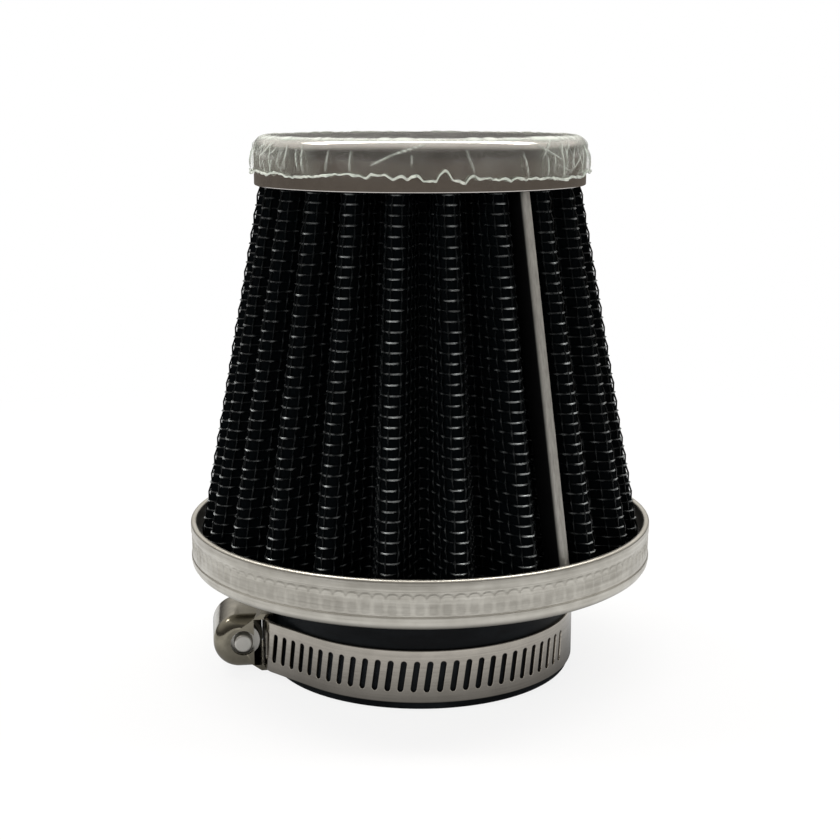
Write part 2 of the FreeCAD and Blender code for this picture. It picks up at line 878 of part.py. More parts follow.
def check_document():
    """Stop if any object of the document failed or any sub-part has no sound shape."""
    for item in doc.Objects:
        if "Invalid" in item.State or "Error" in item.State:
            raise RuntimeError(f"{item.Name} did not build")


def export(pieces):
    check_document()
    os.makedirs("parts", exist_ok=True)
    for piece in pieces:
        shape = piece.Shape
        if shape.isNull() or not shape.isValid() or len(shape.Solids) != 1:
            raise RuntimeError(f"{piece.Label} is not one sound solid")
        shape.exportStep(f"parts/{piece.Label}.step")


def main():
    pieces = [make_neck(), make_ring(), make_base_potting()]
    pieces += make_pleats()
    pieces += [make_strip(), make_cap_potting(), make_cap(), make_film()]
    pieces += [make_band(), make_housing(), make_screw()]
    doc.recompute()
    export(pieces)


main()
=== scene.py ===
"""The looks of a clamp-on cone air filter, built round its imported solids.

Lengths in the classes are millimetres, heights are above the neck's open end, and bearings are degrees
counted from the side that faces the camera towards its right.
"""

import logging
import math
from collections.abc import Callable, Sequence
from dataclasses import dataclass, field
from enum import Enum

import bmesh
import bpy
import numpy as np
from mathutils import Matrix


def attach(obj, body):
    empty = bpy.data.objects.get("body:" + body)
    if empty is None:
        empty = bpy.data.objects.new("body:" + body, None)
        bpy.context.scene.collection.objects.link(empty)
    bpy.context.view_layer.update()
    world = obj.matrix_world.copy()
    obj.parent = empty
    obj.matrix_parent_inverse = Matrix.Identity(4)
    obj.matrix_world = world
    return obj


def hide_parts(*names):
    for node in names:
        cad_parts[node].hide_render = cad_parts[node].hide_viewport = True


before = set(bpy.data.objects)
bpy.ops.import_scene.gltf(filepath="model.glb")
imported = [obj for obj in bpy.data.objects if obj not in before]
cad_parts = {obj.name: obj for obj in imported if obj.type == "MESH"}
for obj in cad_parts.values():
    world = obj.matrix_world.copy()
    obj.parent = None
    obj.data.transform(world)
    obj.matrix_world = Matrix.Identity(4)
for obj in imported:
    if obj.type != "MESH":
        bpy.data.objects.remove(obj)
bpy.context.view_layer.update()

MM = 0.001
AT_AXIS = 1e-6
ON_BAND = 0.05
NODE_WELD = 1e-6
PIECE_WELD = 2e-6
ALL_SMOOTH = 180.0
NOISE_MIDDLE = (0.3, 0.7)
NECK_RADIUS = 29.5
RING_LIP = 29.5
SEAM_BEARING = 37.4
LOG = logging.getLogger("air_filter")

Colour = tuple[float, float, float]
Span = tuple[float, float]
Socket = bpy.types.NodeSocket
Shape = tuple[np.ndarray, list[tuple[int, ...]]]


class Body(Enum):
    """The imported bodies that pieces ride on."""

    FILTER = "filter"
    WORM_SCREW = "worm_screw"


class Slot(Enum):
    """Names of the material slots that finishes belong to."""

    NECK_RUBBER = "neck_rubber"
    RING_ALUMINIUM = "ring_aluminium"
    RESIN = "resin"
    BLACK_WIRE = "black_wire"
    FILTER_CLOTH = "filter_cloth"
    STRIP_STEEL = "strip_steel"
    CAP_CHROME = "cap_chrome"
    FILM = "film"
    CLAMP_STEEL = "clamp_steel"
    SCREW_STEEL = "screw_steel"


class Grain(Enum):
    """The way a finish's streaks run: how finely it is drawn out across and up, per metre."""

    ROUND = (55.0, 2600.0)
    UPRIGHT = (2600.0, 45.0)
    EVEN = (420.0, 420.0)


class NodeBoard:
    """A material's nodes, with short ways to add and join them."""

    def __init__(self, name: str, world: bpy.types.World | None = None) -> None:
        """Start a material, or lay nodes for a world.

        Args:
            name: The material's name.
            world: The world, if the nodes are not a material's.
        """
        self.material = bpy.data.materials.new(name) if world is None else None
        owner = self.material or world
        owner.use_nodes = True
        self.tree = owner.node_tree
        self.shader = self.find("BSDF_PRINCIPLED")
        self.place = self.add("ShaderNodeTexCoord").outputs["Object" if world is None else "Generated"]

    def find(self, kind: str) -> bpy.types.Node | None:
        """The first node of a type, if there is one."""
        return next((node for node in self.tree.nodes if node.type == kind), None)

    def add(self, kind: str, **settings: object) -> bpy.types.Node:
        """Add a node.

        Args:
            kind: The node's type name.
            **settings: Properties to set on it.

        Returns:
            The new node.
        """
        node = self.tree.nodes.new(kind)
        for name, value in settings.items():
            setattr(node, name, value)
        return node

    def feed(self, target: Socket, value: object) -> None:
        """Join a socket to an input, or set a plain value on it.

        Args:
            target: The input.
            value: An output socket, a number or a colour.
        """
        if isinstance(value, bpy.types.NodeSocket):
            self.tree.links.new(value, target)
        else:
            target.default_value = value

    def stretched(self, across: float, up: float) -> Socket:
        """Place coordinates scaled differently across and up.

        Args:
            across: Scale of the level directions, per metre.
            up: Scale of the height, per metre.

        Returns:
            The scaled coordinates.
        """
        node = self.add("ShaderNodeMapping")
        self.feed(node.inputs["Vector"], self.place)
        node.inputs["Scale"].default_value = (across, across, up)
        return node.outputs["Vector"]

    def noise(self, vector: Socket, scale: float, detail: float = 4.0, rough: float = 0.55) -> Socket:
        """Noise from 0 to 1.

        Args:
            vector: Coordinates.
            scale: Blotches per unit of the coordinates.
            detail: Octaves.
            rough: How strong the fine octaves are.

        Returns:
            The noise value.
        """
        node = self.add("ShaderNodeTexNoise")
        self.feed(node.inputs["Vector"], vector)
        node.inputs["Scale"].default_value = scale
        node.inputs["Detail"].default_value = detail
        node.inputs["Roughness"].default_value = rough
        return node.outputs["Fac"]

    def streaks(self, grain: Grain) -> Socket:
        """Noise that is drawn out along a grain."""
        return self.noise(self.stretched(*grain.value), 1.0, 5.0, 0.6)

    def span(self, value: Socket, low: float, high: float, start: float = 0.0, end: float = 1.0) -> Socket:
        """Stretch one range of a value onto another.

        Args:
            value: The value.
            low: What becomes start.
            high: What becomes end.
            start: The new low end.
            end: The new high end.

        Returns:
            The clamped new value.
        """
        node = self.add("ShaderNodeMapRange")
        self.feed(node.inputs["Value"], value)
        for name, number in (("From Min", low), ("From Max", high), ("To Min", start), ("To Max", end)):
            node.inputs[name].default_value = number
        return node.outputs["Result"]

    def sum(self, operation: str, first: object, second: object = 0.0) -> Socket:
        """One arithmetic step.

        Args:
            operation: The Math node's operation.
            first: A socket or number.
            second: A socket or number.

        Returns:
            The result.
        """
        node = self.add("ShaderNodeMath", operation=operation)
        self.feed(node.inputs[0], first)
        self.feed(node.inputs[1], second)
        return node.outputs["Value"]

    def blend(self, share: Socket, first: Colour, second: Colour) -> Socket:
        """A colour between two colours.

        Args:
            share: How much of the second colour.
            first: Linear colour at 0.
            second: Linear colour at 1.

        Returns:
            The colour.
        """
        node = self.add("ShaderNodeMix", data_type="RGBA")
        colours = [socket for socket in node.inputs if socket.type == "RGBA"]
        self.feed(node.inputs[0], share)
        colours[0].default_value = (*first, 1.0)
        colours[1].default_value = (*second, 1.0)
        return next(socket for socket in node.outputs if socket.type == "RGBA")

    def layer(self, share: Socket, under: Socket, over: Socket) -> Socket:
        """One shader over another.

        Args:
            share: How much of the upper shader shows.
            under: The lower shader.
            over: The upper shader.

        Returns:
            The mixed shader.
        """
        node = self.add("ShaderNodeMixShader")
        for target, value in zip(node.inputs, (share, under, over)):
            self.feed(target, value)
        return node.outputs[0]

    def bump(self, height: Socket, depth: float, strength: float = 1.0) -> None:
        """Raise the surface by a height.

        Args:
            height: Height from 0 to 1.
            depth: What a height of 1 stands for, in millimetres.
            strength: Share of the effect.
        """
        node = self.add("ShaderNodeBump")
        node.inputs["Strength"].default_value = strength
        node.inputs["Distance"].default_value = depth * MM
        self.feed(node.inputs["Height"], height)
        self.feed(self.shader.inputs["Normal"], node.outputs["Normal"])

    def set(self, **values: object) -> None:
        """Set or feed the shader's inputs.

        Args:
            **values: Input names with underscores for spaces, and what they get.
        """
        for name, value in values.items():
            self.feed(self.shader.inputs[name.replace("_", " ")], value)


def radial(bearing: float | np.ndarray) -> np.ndarray:
    """Level directions, of length one, that point out at bearings in degrees."""
    angle = np.radians(bearing)
    return np.stack([np.sin(angle), -np.cos(angle)], axis=-1)


@dataclass(frozen=True)
class Finish:
    """A surface finish; every kind of finish paints its own nodes."""

    name: str
    slot: Slot

    def paint(self, board: NodeBoard) -> None:
        """Lay the finish's nodes on a board."""
        raise NotImplementedError

    def material(self) -> bpy.types.Material:
        """The finish's material, made once.

        Returns:
            The material.
        """
        known = bpy.data.materials.get(self.name)
        if known is not None:
            return known
        board = NodeBoard(self.name)
        self.paint(board)
        return board.material


@dataclass(frozen=True)
class MetalFinish(Finish):
    """Bare metal with a grain, dull patches and faint rubbing."""

    light: Colour
    dark: Colour
    gloss: Span
    grain: Grain
    relief: float
    blotch: float = 260.0
    streak_share: float = 0.55
    shade_range: Span = (0.36, 0.64)
    gloss_range: Span = (0.35, 0.65)

    def paint(self, board: NodeBoard) -> None:
        """Streaks along the grain, blotches over them."""
        streak = board.streaks(self.grain)
        patch = board.noise(board.place, self.blotch)
        shade = board.sum(
            "ADD",
            board.sum("MULTIPLY", streak, self.streak_share),
            board.sum("MULTIPLY", patch, 1.0 - self.streak_share),
        )
        board.set(
            Base_Color=board.blend(board.span(shade, *self.shade_range), self.light, self.dark),
            Metallic=1.0,
            Roughness=board.span(shade, *self.gloss_range, *self.gloss),
        )
        board.bump(streak, self.relief)


@dataclass(frozen=True)
class RubberFinish(Finish):
    """Moulded black rubber with a fine grain and a faint bloom."""

    body: Colour = (0.0035, 0.0045, 0.0056)
    bloom: Colour = (0.011, 0.0138, 0.0172)
    bloom_range: Span = (0.4, 0.7)
    patches: Span = (60.0, 200.0)
    pores: Span = (4200.0, 3.0)
    pore_relief: Span = (0.02, 0.6)
    gloss: Span = (0.42, 0.56)
    shine: float = 0.09

    def paint(self, board: NodeBoard) -> None:
        """Fine pores, with a bloom in large soft patches."""
        patch = board.noise(board.stretched(*self.patches), 1.0, 5.0)
        board.set(
            Base_Color=board.blend(board.span(patch, *self.bloom_range), self.body, self.bloom),
            Roughness=board.span(patch, *NOISE_MIDDLE, *self.gloss),
            Specular_IOR_Level=self.shine,
        )
        board.bump(board.noise(board.place, *self.pores), *self.pore_relief)


@dataclass(frozen=True)
class GrainyFinish(Finish):
    """A black mass with one grain, which shades it, dulls it and raises it."""

    dark: Colour
    light: Colour
    grain: tuple[float, float, float]
    gloss: Span
    shine: float
    relief: Span

    def paint(self, board: NodeBoard) -> None:
        """One noise for the shade, the gloss and the relief."""
        grain = board.noise(board.place, *self.grain)
        board.set(
            Base_Color=board.blend(grain, self.dark, self.light),
            Roughness=board.span(grain, *NOISE_MIDDLE, *self.gloss),
            Specular_IOR_Level=self.shine,
        )
        board.bump(grain, *self.relief)


@dataclass(frozen=True)
class WireFinish(Finish):
    """Black coated wire, rubbed bare where the mesh marks it.

    The mesh keeps the root of the painted highlight, with painted shade towards the cap; squaring it here
    gives the painted glints short ends.
    """

    mask: str = "glint_share"
    coat: Colour = (0.0016, 0.0026, 0.0032)
    bare: Colour = (0.66, 0.70, 0.71)
    coat_grain: float = 900.0
    glint_grain: Span = (430.0, 3.0)
    glint_range: Span = (0.36, 0.64)
    glint_strength: Span = (0.2, 1.15)
    gloss: Span = (0.2, 0.34)
    shine: float = 0.16
    relief: Span = (0.02, 0.5)

    def paint(self, board: NodeBoard) -> None:
        """A coat that is thicker here and thinner there."""
        glint_share = board.add("ShaderNodeAttribute", attribute_name=self.mask).outputs["Fac"]
        coat = board.noise(board.place, self.coat_grain)
        glint_patches = board.span(board.noise(board.place, *self.glint_grain), *self.glint_range, *self.glint_strength)
        # Painted highlight: bright metal on the glints that the mesh marks, varied in patches.
        share = board.sum("MULTIPLY", board.sum("MULTIPLY", glint_share, glint_share), glint_patches)
        board.set(
            Base_Color=board.blend(share, self.coat, self.bare),
            Metallic=share,
            Roughness=board.span(coat, *NOISE_MIDDLE, *self.gloss),
            Specular_IOR_Level=self.shine,
        )
        board.bump(coat, *self.relief)


@dataclass(frozen=True)
class StripFinish(Finish):
    """The folded strip over the seam: bare on its outer face, painted black on its flanks as shade."""

    bearing: float = SEAM_BEARING
    bare: Colour = (0.44, 0.43, 0.40)
    shaded_flank: Colour = (0.003, 0.003, 0.0034)
    open_range: Span = (0.35, 0.9)
    streak_shade: Span = (0.62, 1.0)
    metal: float = 0.5
    gloss: Span = (0.42, 0.56)
    shine: float = 0.2
    relief: float = 0.012

    def paint(self, board: NodeBoard) -> None:
        """Streaks up the strip, fading into the painted shade where the fold turns."""
        out = board.add("ShaderNodeVectorMath", operation="DOT_PRODUCT")
        board.feed(out.inputs[0], board.add("ShaderNodeTexCoord").outputs["Normal"])
        out.inputs[1].default_value = (*radial(self.bearing), 0.0)
        streak = board.streaks(Grain.UPRIGHT)
        open_face = board.span(out.outputs["Value"], *self.open_range)
        # Painted shade: the flanks, which turn away from the outer face, are painted black.
        share = board.sum("MULTIPLY", open_face, board.span(streak, *NOISE_MIDDLE, *self.streak_shade))
        board.set(
            Base_Color=board.blend(share, self.shaded_flank, self.bare),
            Metallic=board.span(open_face, 0.0, 1.0, 0.0, self.metal),
            Roughness=board.span(streak, *NOISE_MIDDLE, *self.gloss),
            Specular_IOR_Level=self.shine,
        )
        board.bump(streak, self.relief)


@dataclass(frozen=True)
class InnerWeaveFinish(Finish):
    """The inner wire cloth, drawn as crossing wires over dark felt."""

    pitch: float = 1.7
    felt: Colour = (0.002, 0.002, 0.002)
    wire: Colour = (0.016, 0.016, 0.017)
    wire_range: Span = (0.72, 1.0)
    gloss: Span = (0.9, 0.34)
    shine: float = 0.4
    relief: float = 0.28

    def paint(self, board: NodeBoard) -> None:
        """Wires run level and up the pleats."""
        parts = board.add("ShaderNodeSeparateXYZ")
        board.feed(parts.inputs[0], board.place)
        reach = board.sum("SQRT", board.sum(
            "ADD",
            board.sum("POWER", parts.outputs["X"], 2.0),
            board.sum("POWER", parts.outputs["Y"], 2.0),
        ))
        turns = 2.0 * math.pi / (self.pitch * MM)
        level = board.sum("COSINE", board.sum("MULTIPLY", parts.outputs["Z"], turns))
        upright = board.sum("COSINE", board.sum("MULTIPLY", reach, turns))
        wires = board.span(board.sum("MAXIMUM", level, upright), *self.wire_range)
        board.set(
            Base_Color=board.blend(wires, self.felt, self.wire),
            Roughness=board.span(wires, 0.0, 1.0, *self.gloss),
            Specular_IOR_Level=self.shine,
        )
        board.bump(wires, self.relief)


@dataclass(frozen=True)
class FilmFinish(Finish):
    """Thin clear film, milky where it is creased or torn, with a painted highlight along the shoulder and a
    painted sheen towards the sides.
    """

    mask: str = "crease"
    tint: Colour = (0.86, 0.86, 0.80)
    green: Colour = (0.60, 0.70, 0.63)
    haze_grain: Span = (300.0, 5.0)
    fine_grain: Span = (900.0, 350.0)
    fine_relief: Span = (0.05, 0.5)
    veil_range: Span = (0.35, 0.8)
    veil: Span = (0.0, 0.03)
    edge_range: Span = (0.5, 1.0)
    edge_strength: Span = (0.66, 1.4)
    thickest: float = 0.92
    gloss: Span = (0.12, 0.26)
    coat: float = 0.3
    coat_gloss: float = 0.08

    def paint(self, board: NodeBoard) -> None:
        """Clear in the flat parts, white where the mesh marks folds, torn edges, painted highlight and
        painted sheen.
        """
        fold = board.add("ShaderNodeAttribute", attribute_name=self.mask).outputs["Fac"]
        haze = board.noise(board.place, *self.haze_grain)
        edge_on = board.add("ShaderNodeLayerWeight").outputs["Facing"]
        strength = board.span(edge_on, *self.edge_range, *self.edge_strength)
        milk = board.sum(
            "ADD",
            board.span(haze, *self.veil_range, *self.veil),
            board.sum("MULTIPLY", fold, strength),
        )
        board.set(
            Base_Color=board.blend(haze, self.green, self.tint),
            Roughness=board.span(haze, *NOISE_MIDDLE, *self.gloss),
            Alpha=board.sum("MINIMUM", milk, self.thickest),
            Coat_Weight=self.coat,
            Coat_Roughness=self.coat_gloss,
        )
        board.bump(board.noise(board.stretched(*self.fine_grain), 1.0), *self.fine_relief)


RUBBER = RubberFinish("moulded_rubber", Slot.NECK_RUBBER)
ALUMINIUM = MetalFinish(
    "rolled_aluminium", Slot.RING_ALUMINIUM,
    (0.56, 0.54, 0.487), (0.42, 0.40, 0.355), (0.3, 0.44), Grain.ROUND, 0.02)
RESIN = GrainyFinish(
    "cast_resin", Slot.RESIN,
    (0.006, 0.006, 0.007), (0.018, 0.018, 0.019), (220.0, 5.0, 0.55), (0.35, 0.6), 0.35, (0.25, 0.7))
WIRE = WireFinish("coated_wire", Slot.BLACK_WIRE)
CLOTH = GrainyFinish(
    "felt", Slot.FILTER_CLOTH,
    (0.0006, 0.001, 0.0013), (0.0024, 0.0033, 0.004), (5200.0, 6.0, 0.7), (0.85, 1.0), 0.02, (0.12, 0.8))
INNER_WEAVE = InnerWeaveFinish("inner_weave", Slot.BLACK_WIRE)
STRIP_STEEL = StripFinish("folded_strip", Slot.STRIP_STEEL)
CHROME = MetalFinish(
    "bright_chrome", Slot.CAP_CHROME,
    (0.62, 0.59, 0.56), (0.54, 0.51, 0.48), (0.06, 0.17), Grain.EVEN, 0.008, 90.0)
FILM = FilmFinish("clear_film", Slot.FILM)
BAND_STEEL = MetalFinish(
    "band_steel", Slot.CLAMP_STEEL,
    (0.43, 0.40, 0.355), (0.34, 0.315, 0.278), (0.13, 0.22), Grain.ROUND, 0.004)
# Painted shade: the housing is the band's steel, painted darker for the shade under the ring.
SHADED_HOUSING_STEEL = MetalFinish(
    "shaded_housing_steel", Slot.CLAMP_STEEL,
    (0.275, 0.252, 0.2), (0.185, 0.17, 0.133), (0.1, 0.18), Grain.EVEN, 0.004)
SCREW_STEEL = MetalFinish(
    "screw_steel", Slot.SCREW_STEEL,
    (0.33, 0.295, 0.245), (0.225, 0.2, 0.165), (0.16, 0.28), Grain.EVEN, 0.01)


def unit(vectors: np.ndarray) -> np.ndarray:
    """Vectors brought to length one along their last axis."""
    return vectors / np.linalg.norm(vectors, axis=-1, keepdims=True)


def smooth_step(value: np.ndarray, low: float, high: float) -> np.ndarray:
    """A soft step from 0 at low to 1 at high."""
    share = np.clip((value - low) / (high - low), 0.0, 1.0)
    return share * share * (3.0 - 2.0 * share)


def rounded(corners: Sequence[tuple[float, ...]], steps: int = 6) -> np.ndarray:
    """A profile through corners, with an arc at each corner that has a radius.

    Args:
        corners: Radius from the axis, height, and optionally a rounding radius; the profile is closed.
        steps: Points on each arc, less one.

    Returns:
        Points of the profile, one row each.
    """
    points: list[np.ndarray] = []
    count = len(corners)
    for index, corner in enumerate(corners):
        here = np.array(corner[:2])
        radius = corner[2] if len(corner) > 2 else 0.0
        before = unit(np.array(corners[index - 1][:2]) - here)
        after = unit(np.array(corners[(index + 1) % count][:2]) - here)
        if radius <= 0.0:
            points.append(here)
            continue
        half = math.acos(float(np.clip(before @ after, -1.0, 1.0))) / 2.0
        centre = here + unit(before + after) * radius / math.sin(half)
        start = here + before * radius / math.tan(half) - centre
        sweep = math.pi - 2.0 * half
        turn = math.copysign(1.0, before[0] * after[1] - before[1] * after[0])
        for step in range(steps + 1):
            angle = -turn * sweep * step / steps
            cosine, sine = math.cos(angle), math.sin(angle)
            points.append(centre + np.array([
                start[0] * cosine - start[1] * sine,
                start[0] * sine + start[1] * cosine,
            ]))
    return np.array(points)


def hump(value: float | np.ndarray, place: float, width: float) -> float | np.ndarray:
    """A bell curve that is one at its place."""
    return np.exp(-((value - place) / width) ** 2)


def divided(profile: np.ndarray, longest: float, band: Span | None = None) -> np.ndarray:
    """A closed profile with its long sides divided.

    Args:
        profile: Points of the profile.
        longest: The longest side that may stay, in millimetres.
        band: A radius, and the longest side that may stay along it.

    Returns:
        The profile with points added.
    """
    points: list[np.ndarray] = []
    for index, start in enumerate(profile):
        end = profile[(index + 1) % len(profile)]
        limit = longest
        if band is not None and max(abs(start[0] - band[0]), abs(end[0] - band[0])) < ON_BAND:
            limit = band[1]
        pieces = max(1, math.ceil(float(np.linalg.norm(end - start)) / limit))
        points.extend(start + (end - start) * step / pieces for step in range(pieces))
    return np.array(points)


def quads(*corners: np.ndarray) -> list[tuple[int, ...]]:
    """Faces from arrays of their corners in turn; corners at one point count once."""
    rows = np.stack(corners, axis=-1).reshape(-1, len(corners))
    return [tuple(dict.fromkeys(face)) for face in rows.tolist()]


def stack(rings: Sequence[np.ndarray], around: int) -> tuple[np.ndarray, list[np.ndarray]]:
    """Number the points of rings, one ring after another.

    Args:
        rings: Points of each ring; a ring that has shrunk to the axis holds one point.
        around: Points of a full ring.

    Returns:
        All points, and each ring's numbers.
    """
    starts = np.cumsum([0, *(len(ring) for ring in rings)])
    full = np.arange(around)
    numbers = [start + (full if len(ring) > 1 else 0 * full) for start, ring in zip(starts, rings)]
    return np.vstack(rings), numbers


def lathe(
    profile: np.ndarray,
    segments: int,
    dent: Callable[[np.ndarray, np.ndarray, np.ndarray], np.ndarray] | None = None,
) -> Shape:
    """Turn a closed profile about the axis.

    Args:
        profile: Radius and height of each point, in order; points at radius 0 become one point.
        segments: Steps round the axis.
        dent: Gives how far the surface is pushed out, from bearing, radius and height.

    Returns:
        Points in millimetres, and faces.
    """
    bearings = np.arange(segments) * 360.0 / segments
    rings: list[np.ndarray] = []
    for radius, height in profile:
        if radius < AT_AXIS:
            rings.append(np.array([[0.0, 0.0, height]]))
            continue
        reach = np.full(segments, radius)
        heights = np.full(segments, height)
        if dent is not None:
            reach = reach + dent(bearings, reach, heights)
        rings.append(np.column_stack([radial(bearings) * reach[:, None], heights]))
    points, numbers = stack(rings, segments)
    faces: list[tuple[int, ...]] = []
    for ring, following in zip(numbers, numbers[1:] + numbers[:1]):
        if ring[0] == ring[-1] and following[0] == following[-1]:
            continue
        faces.extend(quads(ring, np.roll(ring, -1), np.roll(following, -1), following))
    return points, faces


def tubes(paths: np.ndarray, outward: np.ndarray, radius: float, sides: int = 4) -> Shape:
    """Round wires along many paths with the same number of points.

    Args:
        paths: Points; the axes are wire, point, x y z.
        outward: A direction that is square to the wire at each point.
        radius: The wire's radius.
        sides: Flats round the wire.

    Returns:
        Points in millimetres, and faces.
    """
    count, length, _ = paths.shape
    ahead = unit(np.gradient(paths, axis=1))
    outward = unit(outward - ahead * np.sum(outward * ahead, axis=-1, keepdims=True))
    aside = np.cross(ahead, outward)
    angles = 2.0 * math.pi * np.arange(sides) / sides
    spread = outward[:, :, None, :] * np.cos(angles)[:, None]
    spread = spread + aside[:, :, None, :] * np.sin(angles)[:, None]
    points = (paths[:, :, None, :] + spread * radius).reshape(-1, 3)
    index = np.arange(count * length * sides).reshape(count, length, sides)
    beside = np.roll(index, -1, axis=2)
    faces = quads(index[:, :-1], beside[:, :-1], beside[:, 1:], index[:, 1:])
    for end in (index[:, 0, ::-1], index[:, -1]):
        faces.extend(tuple(face) for face in end.tolist())
    return points, faces


def mesh_of(name: str, shape: Shape) -> bpy.types.Mesh:
    """A mesh from points in millimetres and faces."""
    mesh = bpy.data.meshes.new(name)
    mesh.from_pydata((shape[0] * MM).tolist(), [], shape[1])
    return mesh


def linked(name: str, data: bpy.types.ID) -> bpy.types.Object:
    """A new object in the scene that shows a mesh, a lamp or a camera."""
    thing = bpy.data.objects.new(name, data)
    bpy.context.scene.collection.objects.link(thing)
    return thing


def new_piece(
    name: str, shape: Shape, finish: Finish, sharp: float = ALL_SMOOTH, weld: bool = False,
) -> bpy.types.Object:
    """Make a mesh object, smooth but for edges that turn sharply.

    Args:
        name: The piece's name.
        shape: Points in millimetres, and faces.
        finish: Its finish.
        sharp: Edges that turn by more than this many degrees stay sharp.
        weld: Whether points in one place are to be joined and the faces turned outwards.

    Returns:
        The object.
    """
    mesh = mesh_of(name, shape)
    if weld:
        joined = bmesh.new()
        joined.from_mesh(mesh)
        bmesh.ops.remove_doubles(joined, verts=joined.verts, dist=PIECE_WELD)
        bmesh.ops.recalc_face_normals(joined, faces=joined.faces)
        joined.to_mesh(mesh)
        joined.free()
    mesh.validate()
    mesh.shade_smooth()
    if sharp < ALL_SMOOTH:
        mesh.set_sharp_from_angle(angle=math.radians(sharp))
    mesh.materials.append(finish.material())
    LOG.info("%s: %d faces", name, len(mesh.polygons))
    return linked(name, mesh)


def mark(piece: bpy.types.Object, name: str, values: np.ndarray) -> None:
    """Keep one value for each point of a piece's mesh, under the name that its finish reads."""
    layer = piece.data.attributes.new(name, "FLOAT", "POINT")
    layer.data.foreach_set("value", values.astype(np.float32))


def settle(piece: bpy.types.Object, finish: Finish, body: Body, *nodes: str) -> None:
    """Let a piece ride on a body and stand for CAD nodes.

    Args:
        piece: The piece.
        finish: Not used.
        body: The body it moves with.
        *nodes: CAD nodes that it replaces.
    """
    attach(piece, body.value)
    if nodes:
        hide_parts(*nodes)


def dress_node(node: str, finish: Finish, edge: float = 0.0, sharp: float = 35.0) -> None:
    """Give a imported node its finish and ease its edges.

    Args:
        node: The node's name.
        finish: Its finish.
        edge: Width of the eased edges in millimetres; 0 leaves them.
        sharp: Edges that turn by more than this many degrees are eased.
    """
    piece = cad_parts[node]
    piece.data.materials.clear()
    piece.data.materials.append(finish.material())
    weld = piece.modifiers.new("joined", "WELD")
    weld.merge_threshold = NODE_WELD
    if edge > 0.0:
        bevel = piece.modifiers.new("eased", "BEVEL")
        bevel.width = edge * MM
        bevel.segments = 2
        bevel.limit_method = "ANGLE"
        bevel.angle_limit = math.radians(sharp)
        bevel.use_clamp_overlap = True
        bevel.harden_normals = True
    LOG.info("%s: packed solid, finished as %s", node, finish.slot.value)


